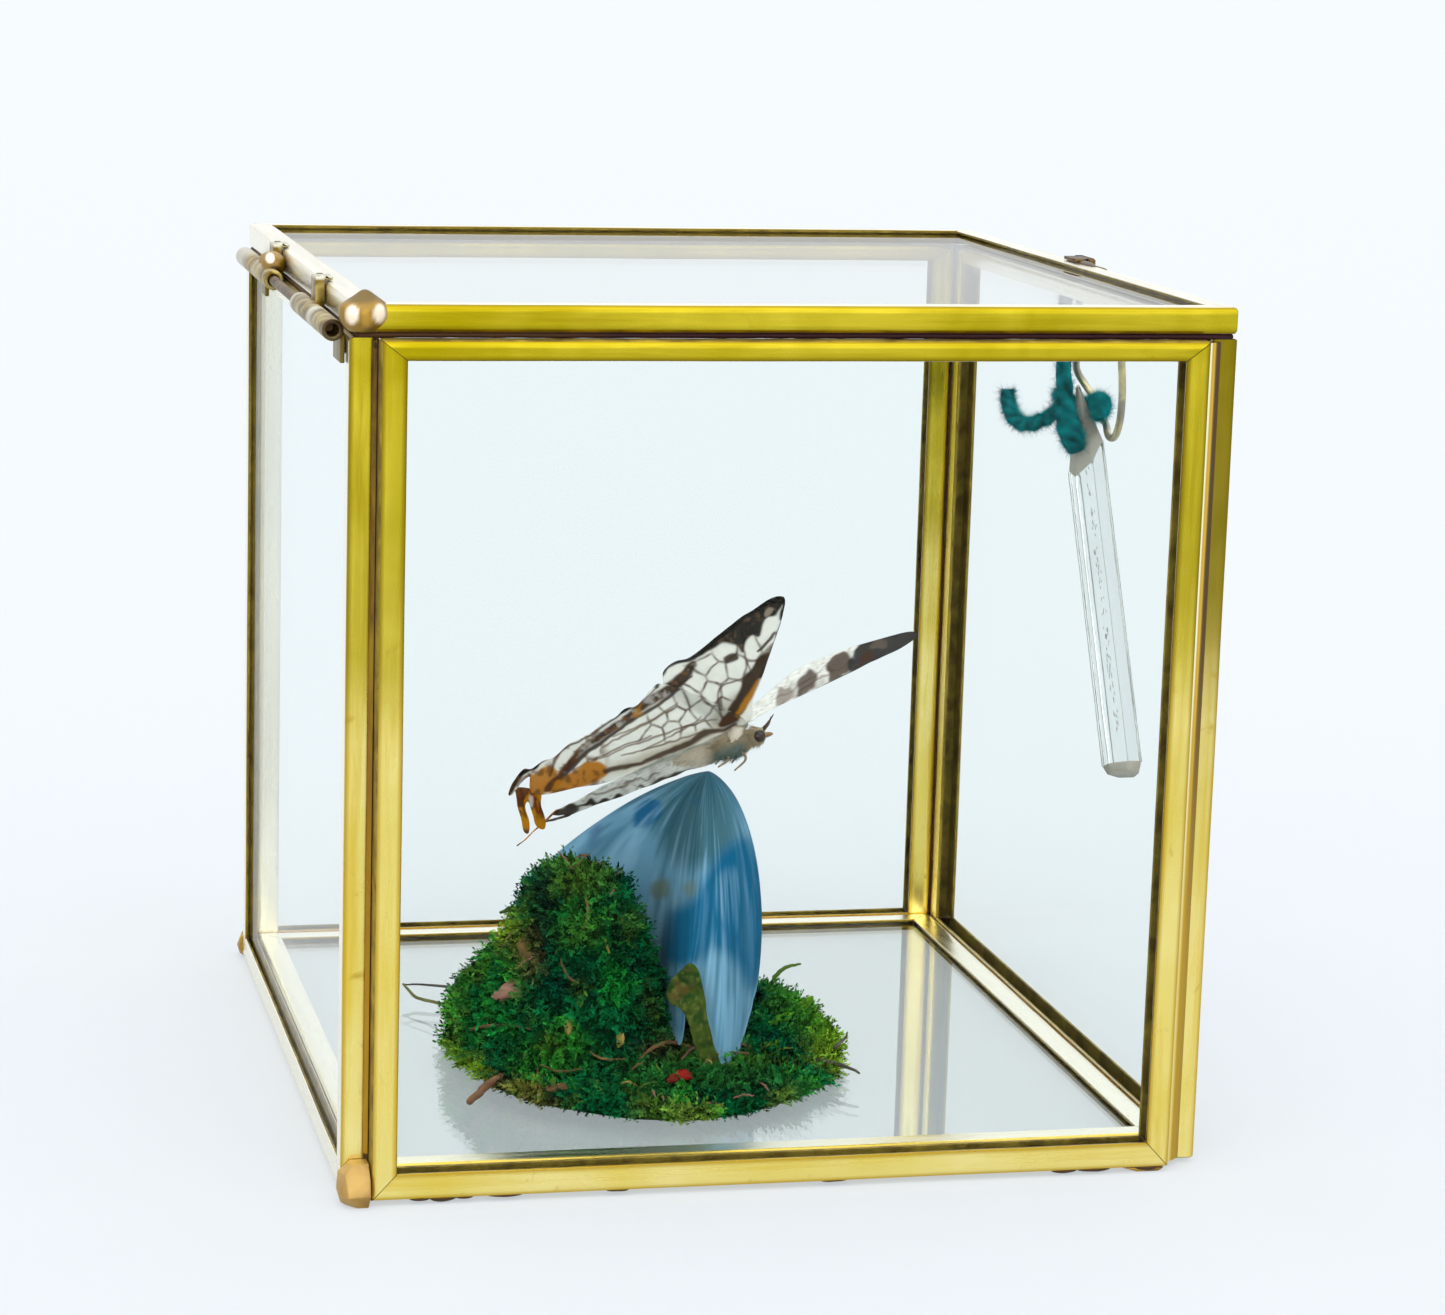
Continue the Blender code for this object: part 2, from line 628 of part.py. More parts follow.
# each rib runs from the top through two control points to the rim: tips and notches in turn
BLOOM_RIBS = (
    ((51.0, 38.5, 34.9), (51.0, 30.0, 20.0), (49.6, 28.4, 4.3)),
    ((54.8, 42.5, 35.6), (56.8, 39.0, 24.0), (55.4, 37.5, 12.0)),
    ((55.9, 47.0, 35.2), (59.7, 50.0, 22.0), (57.6, 51.5, 9.0)),
    ((54.2, 51.5, 35.4), (57.5, 56.5, 25.0), (55.0, 58.0, 14.5)),
    ((50.0, 53.5, 35.4), (49.5, 61.5, 24.0), (47.5, 62.5, 8.5)),
    ((45.2, 51.5, 35.4), (42.4, 59.5, 28.0), (40.0, 61.0, 18.5)),
    ((45.6, 47.5, 35.9), (39.0, 51.0, 31.4), (33.2, 54.5, 24.6)),
    ((46.5, 45.0, 34.9), (44.0, 46.0, 27.0), (43.0, 47.0, 16.0)),
    ((47.5, 41.0, 35.4), (45.0, 33.0, 22.0), (44.6, 31.6, 7.2)),
    ((48.8, 39.0, 35.4), (47.8, 31.0, 25.0), (46.2, 32.0, 16.4)),
)


def bloom_surface(name, thick, reach=1.0, columns=3, rows=9):
    """The bell of fused petals, upside down: a skin of the given thickness and reach."""
    ribs = [[BLOOM_TOP] + [Vector(p) for p in rib] for rib in BLOOM_RIBS]
    count = len(ribs)
    points = [BLOOM_TOP]
    for i in range(count):
        for k in range(columns):
            t = k / columns
            a, b, c, d = (ribs[(i + j) % count] for j in (-1, 0, 1, 2))
            blend = []
            for pa, pb, pc, pd in zip(a, b, c, d):
                blend.append(0.5 * (2 * pb + (pc - pa) * t + (2 * pa - 5 * pb + 4 * pc - pd) * t * t
                                    + (3 * pb - pa - 3 * pc + pd) * t ** 3))
            for r in range(1, rows + 1):
                s = reach * r / rows
                points.append(blend[0] * (1 - s) ** 3 + 3 * blend[1] * s * (1 - s) ** 2
                              + 3 * blend[2] * s * s * (1 - s) + blend[3] * s ** 3)
    total = count * columns
    faces = []
    for i in range(total):
        j = (i + 1) % total
        low, high = 1 + i * rows, 1 + j * rows
        faces.append((0, high, low))
        for r in range(rows - 1):
            faces.append((low + r, high + r, high + r + 1, low + r + 1))
    skin = solid(name, points, faces, BLOOM_TOP, smooth=60)
    thicken = skin.modifiers.new("thickness", "SOLIDIFY")
    thicken.thickness = thick * MM
    thicken.offset = 0.0
    thicken.use_even_offset = False
    thicken.use_quality_normals = True
    return skin


# ---------------------------------------------------------------- butterfly
WING_ROOT = Vector((54.2, 44.9, 43.6))
HEADING_DEG = -19.8
PITCH_DEG = 29.5
ROLL_DEG = -18.4
WING_THICK = 0.35
# each wing's rise above the body, sweep forward and twist, in degrees
NEAR_WINGS = (10.6, 0.0, 0.0)
FAR_FOREWING = (19.0, 7.5, -10.0)
FAR_HINDWING = (3.0, -18.0, -2.0)

# outlines in the wing's plane: out from the body, and forward along it
FOREWING = ((0.2, 1.6), (5.1, 3.6), (9.8, 6.4), (15.2, 9.4), (19.8, 12.0), (23.6, 14.1), (28.4, 16.3),
            (30.2, 16.3), (30.8, 15.2), (30.0, 12.8), (29.8, 11.2), (28.9, 9.2), (27.6, 6.7), (26.4, 4.4),
            (25.8, 2.6), (26.6, 1.4), (26.2, 0.0), (24.6, -1.2), (19.3, -2.5), (9.2, -2.0), (0.2, -1.2))
HINDWING = ((0.2, 1.0), (9.0, 0.4), (17.0, -0.6), (23.2, -2.0), (23.2, -3.4), (21.9, -4.8), (20.6, -6.3),
            (21.3, -7.7), (20.3, -9.3), (20.5, -10.8), (19.5, -12.9), (19.6, -14.8), (19.1, -16.6),
            (17.8, -18.7), (18.2, -20.1), (17.7, -21.9), (18.6, -22.6), (16.6, -24.8), (13.9, -26.7),
            (13.5, -26.3), (15.6, -24.0), (15.9, -22.9), (12.9, -24.2), (10.2, -24.8), (8.2, -23.6),
            (6.3, -20.8), (3.5, -18.1), (1.5, -13.3), (0.3, -8.2), (0.2, -1.0))
# the lobes at the tail end of each hindwing: out from the body, and away from the wing's hind edge
LOBES = ((13.8, -0.3), (14.1, 2.0), (12.8, 5.2), (11.8, 5.4), (11.0, 2.4), (10.0, 3.6), (8.4, 4.4),
         (7.6, 3.6), (8.0, 1.2), (8.2, -0.3))


def butterfly_axes():
    heading, pitch, roll = (math.radians(a) for a in (HEADING_DEG, PITCH_DEG, ROLL_DEG))
    ahead = Vector((math.cos(heading) * math.cos(pitch), math.sin(heading) * math.cos(pitch),
                    math.sin(pitch)))
    left = Vector((-math.sin(heading), math.cos(heading), 0))
    up = ahead.cross(left)
    side = left * math.cos(roll) + up * math.sin(roll)
    return ahead, side, ahead.cross(side)


def wing_axes(side_sign, pose):
    """The outward, forward and upward directions of one wing from its rise, sweep and twist."""
    ahead, side, up = butterfly_axes()
    rise, sweep, twist = (math.radians(a) for a in pose)
    out = side * side_sign * math.cos(rise) + up * math.sin(rise)
    over = ahead.cross(out) * side_sign
    front = ahead * math.cos(twist) + over * math.sin(twist)
    over = over * math.cos(twist) - ahead * math.sin(twist)
    swept_out = out * math.cos(sweep) + front * math.sin(sweep)
    swept_front = front * math.cos(sweep) - out * math.sin(sweep)
    return swept_out, swept_front, over


def wing(name, outline, side_sign, pose, lift):
    """A flat wing on one side of the body."""
    out, front, over = wing_axes(side_sign, pose)
    points = []
    for level in (-0.5, 0.5):
        for reach, along in outline:
            points.append(WING_ROOT + out * reach + front * along + over * (lift + level * WING_THICK))
    return solid(name, *closed_plate(points), WING_ROOT)


def lobes(name, side_sign, pose, droop_deg):
    """The lobes of one hindwing, a plate that meets its hind edge and droops from there."""
    out, front, over = wing_axes(side_sign, pose)
    droop = math.radians(droop_deg)
    away = -front * math.cos(droop) - over * math.sin(droop)
    thick = over * math.cos(droop) - front * math.sin(droop)
    points = []
    for level in (-0.5, 0.5):
        for reach, run in LOBES:
            edge = WING_ROOT + out * reach - front * (23.2 + 0.25 * (reach - 8)) - over * 0.32
            points.append(edge + away * run + thick * level * 0.5)
    return solid(name, *closed_plate(points), WING_ROOT)


def closed_plate(points):
    """Faces for a plate whose points are its lower outline and then its upper one."""
    count = len(points) // 2
    faces = [tuple(range(count)), tuple(range(count, 2 * count))]
    for i in range(count):
        j = (i + 1) % count
        faces.append((i, j, count + j, count + i))
    return points, faces


def butterfly():
    """Body, wings, legs and feelers as one dried insect."""
    stations = (((57.1, 43.4, 42.75), 0.35), ((56.7, 43.5, 42.6), 0.95), ((55.9, 43.8, 42.2), 1.1),
                ((55.2, 44.1, 41.9), 0.85), ((54.4, 44.5, 41.6), 1.5), ((53.4, 44.9, 41.1), 1.8),
                ((52.3, 45.4, 40.5), 1.55), ((51.4, 45.8, 40.0), 1.0), ((50.2, 46.3, 39.7), 1.2),
                ((48.8, 46.9, 39.3), 1.15), ((47.5, 47.5, 38.9), 0.85), ((46.6, 47.9, 38.6), 0.35))
    path = [Vector(p) for p, _ in stations]
    points, faces = tube_shape(path, [r for _, r in stations], 10)
    body = solid("butterfly", points, faces, WING_ROOT, smooth=50)
    for name, outline, sign, pose, lift in (
            ("guide_forewing_near", FOREWING, -1, NEAR_WINGS, -0.05),
            ("guide_hindwing_near", HINDWING, -1, NEAR_WINGS, -0.32),
            ("guide_forewing_far", FOREWING, 1, FAR_FOREWING, -0.05),
            ("guide_hindwing_far", HINDWING, 1, FAR_HINDWING, -0.32)):
        combine(body, wing(name, outline, sign, pose, lift), "UNION")
    combine(body, lobes("guide_lobes_near", -1, NEAR_WINGS, 75), "UNION")
    combine(body, lobes("guide_lobes_far", 1, FAR_HINDWING, 20), "UNION")
    limbs = (
        ("guide_wing_root_near", [(53.4, 44.4, 41.4), (53.7, 44.3, 43.3)], (1.2, 0.8)),
        ("guide_wing_root_far", [(53.6, 45.4, 41.4), (54.0, 45.5, 43.4)], (1.2, 0.8)),
        ("guide_leg_near_front", [(54.0, 44.0, 40.7), (54.6, 43.0, 39.6), (53.2, 42.9, 38.2)],
         (0.3, 0.22, 0.2)),
        ("guide_leg_near_back", [(52.6, 44.6, 39.8), (52.4, 43.3, 39.4), (51.2, 43.2, 38.6)],
         (0.3, 0.22, 0.2)),
        ("guide_leg_far_front", [(54.0, 45.2, 40.7), (54.9, 46.6, 39.9), (53.9, 47.2, 38.2)],
         (0.3, 0.22, 0.2)),
        ("guide_leg_far_back", [(52.6, 45.8, 39.8), (52.9, 47.3, 39.3), (52.0, 47.9, 37.9)],
         (0.3, 0.22, 0.2)),
        ("guide_feeler_near", [(56.6, 43.3, 42.9), (57.3, 42.8, 44.0), (57.5, 42.6, 44.9)],
         (0.28, 0.2, 0.16)),
        ("guide_feeler_far", [(56.6, 43.8, 42.9), (57.6, 44.0, 44.0), (58.2, 44.1, 44.9)],
         (0.28, 0.2, 0.16)),
        ("guide_palp", [(56.8, 43.4, 42.4), (57.9, 43.1, 42.6)], (0.45, 0.2)),
    )
    for name, path, radii in limbs:
        points, faces = tube_shape(path, radii, 6)
        combine(body, solid(name, points, faces, path[0]), "UNION")


# ---------------------------------------------------------------- the whole object
def main():
    for old in list(bpy.data.objects):
        bpy.data.objects.remove(old, do_unlink=True)
    lid = empty("lid_hinge_axis", HINGE_AXIS)
    clasp = empty("clasp_pivot_axis", CLASP_AXIS, lid)
    case_panes()
    corner_seams()
    corner_feet()
    lid_pane(lid)
    lid_corner_solder(lid)
    hinge(lid)
    clasp_eye(lid)
    clasp_loop(clasp)
    crystal(clasp)
    yarn_tie(clasp)
    moss_mound()
    bloom_surface("blue_bloom", 0.6)
    butterfly()


main()
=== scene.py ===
import math

import bmesh
import bpy
import numpy as np
from mathutils import Matrix, Vector, geometry, noise

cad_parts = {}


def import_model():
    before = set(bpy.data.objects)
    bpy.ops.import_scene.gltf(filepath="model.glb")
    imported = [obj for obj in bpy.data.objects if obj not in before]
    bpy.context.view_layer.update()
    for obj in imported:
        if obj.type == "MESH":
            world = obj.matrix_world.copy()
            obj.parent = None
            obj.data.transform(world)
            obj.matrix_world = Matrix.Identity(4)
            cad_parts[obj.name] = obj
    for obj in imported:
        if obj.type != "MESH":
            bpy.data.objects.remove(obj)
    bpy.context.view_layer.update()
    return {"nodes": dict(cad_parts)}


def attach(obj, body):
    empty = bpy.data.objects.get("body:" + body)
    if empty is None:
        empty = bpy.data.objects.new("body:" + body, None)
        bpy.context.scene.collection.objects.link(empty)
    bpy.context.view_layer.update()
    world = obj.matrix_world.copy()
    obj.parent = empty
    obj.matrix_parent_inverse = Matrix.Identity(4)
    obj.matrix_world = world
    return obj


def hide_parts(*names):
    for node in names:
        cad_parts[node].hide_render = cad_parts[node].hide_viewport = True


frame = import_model()
noise.seed_set(5)              # so that the slight waves in brass and crystal are the same each run

# the box's own frame, in millimetres: X right along the front, Y back, Z up
ORIGIN = Vector((52.735, 53.5, -0.6))
BOX = (100.0, 107.0, 95.5)
MM = 0.001

# the photograph's camera, in the box's frame and in the photograph's pixels
PICTURE_WIDTH = 1445
EYE = (-55.28, -404.47, 140.71)
EYE_TURNS = ((-0.2122, "Z"), (-0.1906, "X"), (-0.0256, "Y"))
LENS_PX = 3864.85
SIGHT_X, SIGHT_Y = 640.0, 657.5         # where the line of sight meets the picture
SENSOR = 36.0


def at(x, y, z):
    """A point of the box's frame in the scene's metres."""
    return (Vector((x, y, z)) - ORIGIN) * MM


def to_box(points):
    """Scene metres to the box's millimetres, for an array of points."""
    return points / MM + np.array(ORIGIN)


# ---------------------------------------------------------------- camera, light and floor
def eye_turn():
    """The camera's turn. Its columns are the picture's right, the way ahead and the picture's up."""
    first, second, third = (Matrix.Rotation(angle, 3, axis) for angle, axis in EYE_TURNS)
    return first @ second @ third


def camera():
    """The camera that the photograph was taken with, fitted to the edges of the box."""
    right, ahead, up = eye_turn().transposed()
    matrix = Matrix((right, up, -ahead)).transposed().to_4x4()
    matrix.translation = at(*EYE)
    data = bpy.data.cameras.new("camera")
    data.sensor_width = SENSOR
    data.lens = LENS_PX * SENSOR / PICTURE_WIDTH
    data.shift_x = (PICTURE_WIDTH / 2 - SIGHT_X) / PICTURE_WIDTH
    data.clip_start = 0.01
    obj = bpy.data.objects.new("camera", data)
    obj.matrix_world = matrix
    bpy.context.scene.collection.objects.link(obj)
    bpy.context.scene.camera = obj


ROOM_STOPS = ((0.0, 0.40), (0.22, 0.40), (0.5, 0.62), (1.0, 1.0))    # brightness by height
ROOM_TINT = (0.975, 1.0, 1.03)
ROOM_LIGHT = 2.3
WINDOW_SIDE = (-0.35, -0.80, 0.50)      # the brighter side of the room
WINDOW_STOPS = ((0.50, 0.0), (0.86, 0.62))
FLOOR_REACH = 90.0
FLOOR_GREY = (0.205, 0.21, 0.215)
FLOOR_GLOW = (0.90, 0.955, 1.0, 1)
FLOOR_GLOW_SHARE = 0.53


def light_ramp(tree, stops, tint=(1, 1, 1)):
    """A ramp of brightness with a tint."""
    ramp = tree.nodes.new("ShaderNodeValToRGB")
    elements = ramp.color_ramp.elements
    while len(elements) < len(stops):
        elements.new(0.5)
    for element, (position, level) in zip(elements, stops):
        element.position = position
        element.color = (*(level * share for share in tint), 1)
    return ramp


def world():
    """A pale room, even all round, brightest overhead and brighter on one side."""
    made = bpy.data.worlds.new("room")
    made.use_nodes = True
    tree = made.node_tree
    tree.nodes.clear()
    out = tree.nodes.new("ShaderNodeOutputWorld")
    back = tree.nodes.new("ShaderNodeBackground")
    coord = tree.nodes.new("ShaderNodeTexCoord")
    split = tree.nodes.new("ShaderNodeSeparateXYZ")
    overhead = light_ramp(tree, ROOM_STOPS, ROOM_TINT)
    facing = tree.nodes.new("ShaderNodeVectorMath")
    facing.operation = "DOT_PRODUCT"
    facing.inputs[1].default_value = Vector(WINDOW_SIDE).normalized()
    window = light_ramp(tree, WINDOW_STOPS)
    total = tree.nodes.new("ShaderNodeMix")
    total.data_type = "RGBA"
    total.blend_type = "ADD"
    total.inputs[0].default_value = 1.0
    links = ((coord.outputs["Generated"], split.inputs[0]), (split.outputs["Z"], overhead.inputs[0]),
             (coord.outputs["Generated"], facing.inputs[0]), (facing.outputs["Value"], window.inputs[0]),
             (overhead.outputs[0], total.inputs[6]), (window.outputs[0], total.inputs[7]),
             (total.outputs[2], back.inputs["Color"]), (back.outputs[0], out.inputs[0]))
    for start, end in links:
        tree.links.new(start, end)
    back.inputs["Strength"].default_value = ROOM_LIGHT
    bpy.context.scene.world = made
    bpy.context.scene.view_settings.view_transform = "Standard"


def floor():
    """A pale floor that also shines a little, like the white table in bright light."""
    data = bpy.data.meshes.new("floor")
    around = ((-1, -1), (1, -1), (1, 1), (-1, 1))
    corners = [(x * FLOOR_REACH, y * FLOOR_REACH, 0) for x, y in around]
    data.from_pydata(corners, [], [(0, 1, 2, 3)])
    obj = bpy.data.objects.new("floor", data)
    bpy.context.scene.collection.objects.link(obj)
    mat = Nodes("floor")
    mat.shade(color=FLOOR_GREY, roughness=0.9, Specular_IOR_Level=0.05,
              Emission_Color=FLOOR_GLOW, Emission_Strength=FLOOR_GLOW_SHARE)
    data.materials.append(mat.made)


# ---------------------------------------------------------------- materials
class Nodes:
    """A node material under construction: each call adds a node and returns its output."""

    def __init__(self, name):
        self.made = bpy.data.materials.new(name)
        self.made.use_nodes = True
        self.tree = self.made.node_tree
        self.shader = self.tree.nodes["Principled BSDF"]
        self.coord = None

    def add(self, kind, **values):
        """A new node of this kind, with its settings."""
        node = self.tree.nodes.new(kind)
        for key, value in values.items():
            setattr(node, key, value)
        return node

    def feed(self, socket, value):
        """Links a node's output to the socket, or sets a plain value."""
        if isinstance(value, bpy.types.NodeSocket):
            self.tree.links.new(value, socket)
        elif value is not None:
            socket.default_value = value

    def place(self, scale=(1, 1, 1), offset=(0, 0, 0)):
        """Object coordinates in metres, stretched."""
        if self.coord is None:
            self.coord = self.add("ShaderNodeTexCoord").outputs["Object"]
        node = self.add("ShaderNodeMapping")
        self.feed(node.inputs["Vector"], self.coord)
        node.inputs["Scale"].default_value = scale
        node.inputs["Location"].default_value = offset
        return node.outputs[0]

    def noise(self, where, scale, detail=4, rough=0.55, distortion=0.0):
        """A cloudy pattern from 0 to 1."""
        node = self.add("ShaderNodeTexNoise")
        self.feed(node.inputs["Vector"], where)
        node.inputs["Scale"].default_value = scale
        node.inputs["Detail"].default_value = detail
        node.inputs["Roughness"].default_value = rough
        node.inputs["Distortion"].default_value = distortion
        return node.outputs["Fac"]

    def ramp(self, value, *stops):
        """A value turned into greys or colours by its stops."""
        node = self.add("ShaderNodeValToRGB")
        self.feed(node.inputs[0], value)
        elements = node.color_ramp.elements
        while len(elements) < len(stops):
            elements.new(0.5)
        for element, (position, colour) in zip(elements, stops):
            element.position = position
            if not hasattr(colour, "__len__"):
                colour = (colour,) * 3
            element.color = (*colour, 1)
        return node.outputs[0]

    def mix(self, factor, a, b):
        """One colour blended into another."""
        node = self.add("ShaderNodeMix", data_type="RGBA")
        for socket, value in ((node.inputs[0], factor), (node.inputs[6], a), (node.inputs[7], b)):
            if isinstance(value, tuple) and len(value) == 3:
                value = (*value, 1)
            self.feed(socket, value)
        return node.outputs[2]

    def math(self, how, a, b=None, c=None):
        """A sum worked out on one to three values."""
        node = self.add("ShaderNodeMath", operation=how)
        for socket, value in zip(node.inputs, (a, b, c)):
            self.feed(socket, value)
        return node.outputs[0]

    def attribute(self, name, what="Fac"):
        """A value or colour that the mesh's own points carry."""
        node = self.add("ShaderNodeAttribute", attribute_name=name)
        return node.outputs[what]

    def bump(self, height, strength, distance):
        """Makes the surface look uneven by a height pattern."""
        node = self.add("ShaderNodeBump")
        self.feed(node.inputs["Height"], height)
        node.inputs["Strength"].default_value = strength
        node.inputs["Distance"].default_value = distance
        self.feed(self.shader.inputs["Normal"], node.outputs[0])

    def shade(self, color=None, roughness=None, metallic=None, **others):
        """Sets the main shader's inputs."""
        if isinstance(color, tuple):
            color = (*color, 1)
        self.feed(self.shader.inputs["Base Color"], color)
        self.feed(self.shader.inputs["Roughness"], roughness)
        self.feed(self.shader.inputs["Metallic"], metallic)
        for name, value in others.items():
            self.feed(self.shader.inputs[name.replace("_", " ")], value)


def axis_share(mat, axis, start, end, how="LINEAR"):
    """0 at one place along an axis of the box, in its millimetres, and 1 at another."""
    split = mat.add("ShaderNodeSeparateXYZ")
    mat.feed(split.inputs[0], mat.place())
    share = mat.add("ShaderNodeMapRange", interpolation_type=how)
    mat.feed(share.inputs[0], split.outputs[axis])
    share.inputs["From Min"].default_value = (start - ORIGIN["XYZ".index(axis)]) * MM
    share.inputs["From Max"].default_value = (end - ORIGIN["XYZ".index(axis)]) * MM
    return share.outputs[0]


def height_share(mat, low, high):
    """0 below one height, 1 above another, and a soft rise between them."""
    return axis_share(mat, "Z", low, high, "SMOOTHSTEP")


def grazing(mat, low, high):
    """0 for a surface seen square on and 1 for one seen from the side."""
    node = mat.add("ShaderNodeLayerWeight")
    node.inputs["Blend"].default_value = 0.5
    return mat.ramp(node.outputs["Facing"], (low, 0.0), (high, 1.0))


# each pair of tones is for the box's foot and for its top, or for two kinds of patch at one height; the
# paler foot is a painted reflection of the pale floor
BRASS_LOW_FLOOR_LIT = ((0.93, 0.79, 0.30), (0.84, 0.67, 0.15))
BRASS_HIGH = ((0.66, 0.53, 0.035), (0.42, 0.335, 0.004))
WALL_END_HIGH = ((0.34, 0.25, 0.02), (0.19, 0.145, 0.003))
BRASS_STREAKS = ((0.70, 0.50, 0.05), (0.27, 0.20, 0.002))
BRASS_PATCH = (0.47, 0.29, 0.012)
BRASS_RIM_SHADE = ((0.54, 0.33, 0.012), (0.21, 0.145, 0.003))
BRASS_EDGE_SHADE = (0.075, 0.042, 0.008)
BRASS_GRAZING_SHEEN = (0.93, 0.89, 0.74)
BRASS_FOLD_SHADE = ((0.40, 0.24, 0.012), (0.12, 0.085, 0.003))
BRASS_SHEEN_PALE = (0.86, 0.87, 0.80)
BRASS_HEIGHTS = (4, 92)
BRUSHED, BRUSHED_ALONG = 700, 40       # scales of the streaks across and along a channel


def brass(name, along, high_tones=BRASS_HIGH, sheen_share=0.0):
    """Streaked brass: pale yellow low down, a painted reflection of the pale floor, olive higher up, gold
    and brown painted shade along its edges.
    """
    mat = Nodes(name)
    stretch = [BRUSHED] * 3
    stretch["XYZ".index(along)] = BRUSHED_ALONG
    streaks = mat.noise(mat.place(tuple(stretch)), scale=1.0, detail=5, rough=0.6, distortion=0.3)
    clouds = mat.noise(mat.place(), scale=60, detail=3, rough=0.5, distortion=0.5)
    patches = mat.noise(mat.place(offset=(0.31, 0.17, 0.05)), scale=190, detail=4, rough=0.6,
                        distortion=0.8)
    sway = mat.math("MULTIPLY_ADD", mat.noise(mat.place(offset=(0.2, 0.5, 0.0)), scale=22, detail=2),
                    0.05, -0.025)
    # the height share lays the pale foot, a painted reflection of the floor, under the olive top
    share = mat.ramp(mat.math("ADD", height_share(mat, *BRASS_HEIGHTS), sway),
                     (0.0, 0.0), (0.56, 0.26), (0.72, 0.82), (1.0, 1.0))
    shift = mat.ramp(clouds, (0.34, 0.0), (0.64, 1.0))
    low = mat.mix(shift, *BRASS_LOW_FLOOR_LIT)
    high = mat.mix(shift, *high_tones)
    tone = mat.mix(share, low, high)
    streak_tone = mat.mix(share, *BRASS_STREAKS)
    tone = mat.mix(mat.ramp(streaks, (0.46, 0.0), (0.72, 0.75)), tone, streak_tone)
    tone = mat.mix(mat.ramp(patches, (0.63, 0.0), (0.75, 0.7)), tone, BRASS_PATCH)
    # painted shade along the channel's edges, darkest right at them
    edge = mat.attribute("edge")
    rim_shade_tone = mat.mix(share, *BRASS_RIM_SHADE)
    tone = mat.mix(mat.ramp(edge, (0.30, 0.0), (0.8, 0.85)), tone, rim_shade_tone)
    tone = mat.mix(mat.ramp(edge, (0.84, 0.0), (1.0, 0.85)), tone, BRASS_EDGE_SHADE)
    # painted sheen: paler where the surface is seen from the side
    tone = mat.mix(grazing(mat, 0.56, 0.70), tone, BRASS_GRAZING_SHEEN)
    # painted shade on the rounded folds between the faces
    fold = mat.attribute("fold")
    fold_shade_tone = mat.mix(share, *BRASS_FOLD_SHADE)
    tone = mat.mix(fold, tone, fold_shade_tone)
    # painted sheen: a pale wash over the brass
    if sheen_share:
        tone = mat.mix(sheen_share, tone, BRASS_SHEEN_PALE)
    rough = mat.ramp(streaks, (0.3, 0.2), (0.75, 0.36))
    mat.shade(color=tone, metallic=1.0, roughness=mat.math("MULTIPLY_ADD", fold, 0.25, rough))
    mat.bump(streaks, strength=0.22, distance=0.00008)
    return mat.made


SHADE_AND_JOINT_BROWN = ((0.135, 0.088, 0.012), (0.36, 0.26, 0.035))


def dark_brass(name):
    """Dark brown: painted shade in the channels' slots, behind their lips, under the lid and on hidden
    sides, and dark joints at their mitre ends.
    """
    mat = Nodes(name)
    blots = mat.noise(mat.place(), scale=260, detail=5, rough=0.6, distortion=0.6)
    tone = mat.mix(mat.ramp(blots, (0.38, 0.0), (0.70, 1.0)), *SHADE_AND_JOINT_BROWN)
    mat.shade(color=tone, metallic=0.6, roughness=0.5)
    mat.bump(blots, strength=0.3, distance=0.0001)
    return mat.made


SEAM_START, SEAM_WIDE = 95.92, 2.0     # the right hand seam in front, along X
SEAM_TONES = ((0.30, 0.150, 0.008), (0.050, 0.020, 0.008))      # at the foot and at the top
SEAM_BLOTS = (0.34, 0.22, 0.012)
SEAM_HIGHLIGHT = (1.0, 0.93, 0.62)
SEAM_LIT_LINES = ((0.10, SEAM_HIGHLIGHT), (0.24, SEAM_HIGHLIGHT), (0.32, (0.62, 0.38, 0.02)),
              (0.50, (0.75, 0.46, 0.05)), (0.58, (0.30, 0.17, 0.015)), (0.68, (0.09, 0.045, 0.008)))
SEAM_LIT_LINES_LOW = ((0.25, (0.80, 0.62, 0.20)), (0.40, (0.50, 0.31, 0.012)), (0.8, (0.42, 0.25, 0.01)))


def seam_brown():
    """Old solder in the corner's groove: nearly black at the top and gold brown at the foot."""
    mat = Nodes("seam_brown")
    blots = mat.noise(mat.place((1, 1, 0.2)), scale=420, detail=4, rough=0.6, distortion=0.5)
    share = height_share(mat, 10, 95)
    tone = mat.mix(share, *SEAM_TONES)
    tone = mat.mix(mat.ramp(blots, (0.4, 0.0), (0.7, 0.6)), tone, SEAM_BLOTS)
    mat.shade(color=tone, metallic=0.35, roughness=0.55, Specular_IOR_Level=0.2)
    mat.bump(blots, strength=0.3, distance=0.00015)
    return mat.made


def seam_highlighted():
    """Solder drawn out in lines down the corner: gold, with a cream painted highlight and brown painted
    shade.
    """
    mat = Nodes("seam_highlighted")
    waver = mat.math("MULTIPLY_ADD", mat.noise(mat.place((1, 1, 0.1)), scale=260, detail=3), 0.16, -0.08)
    across = mat.math("ADD", axis_share(mat, "X", SEAM_START, SEAM_START + SEAM_WIDE), waver)
    # the cream lines are a painted highlight and the dark brown lines painted shade
    lines = mat.ramp(across, *SEAM_LIT_LINES)
    low = mat.ramp(across, *SEAM_LIT_LINES_LOW)
    tone = mat.mix(height_share(mat, 20, 66), low, lines)
    mat.shade(color=tone, metallic=0.9, roughness=0.3)
    return mat.made


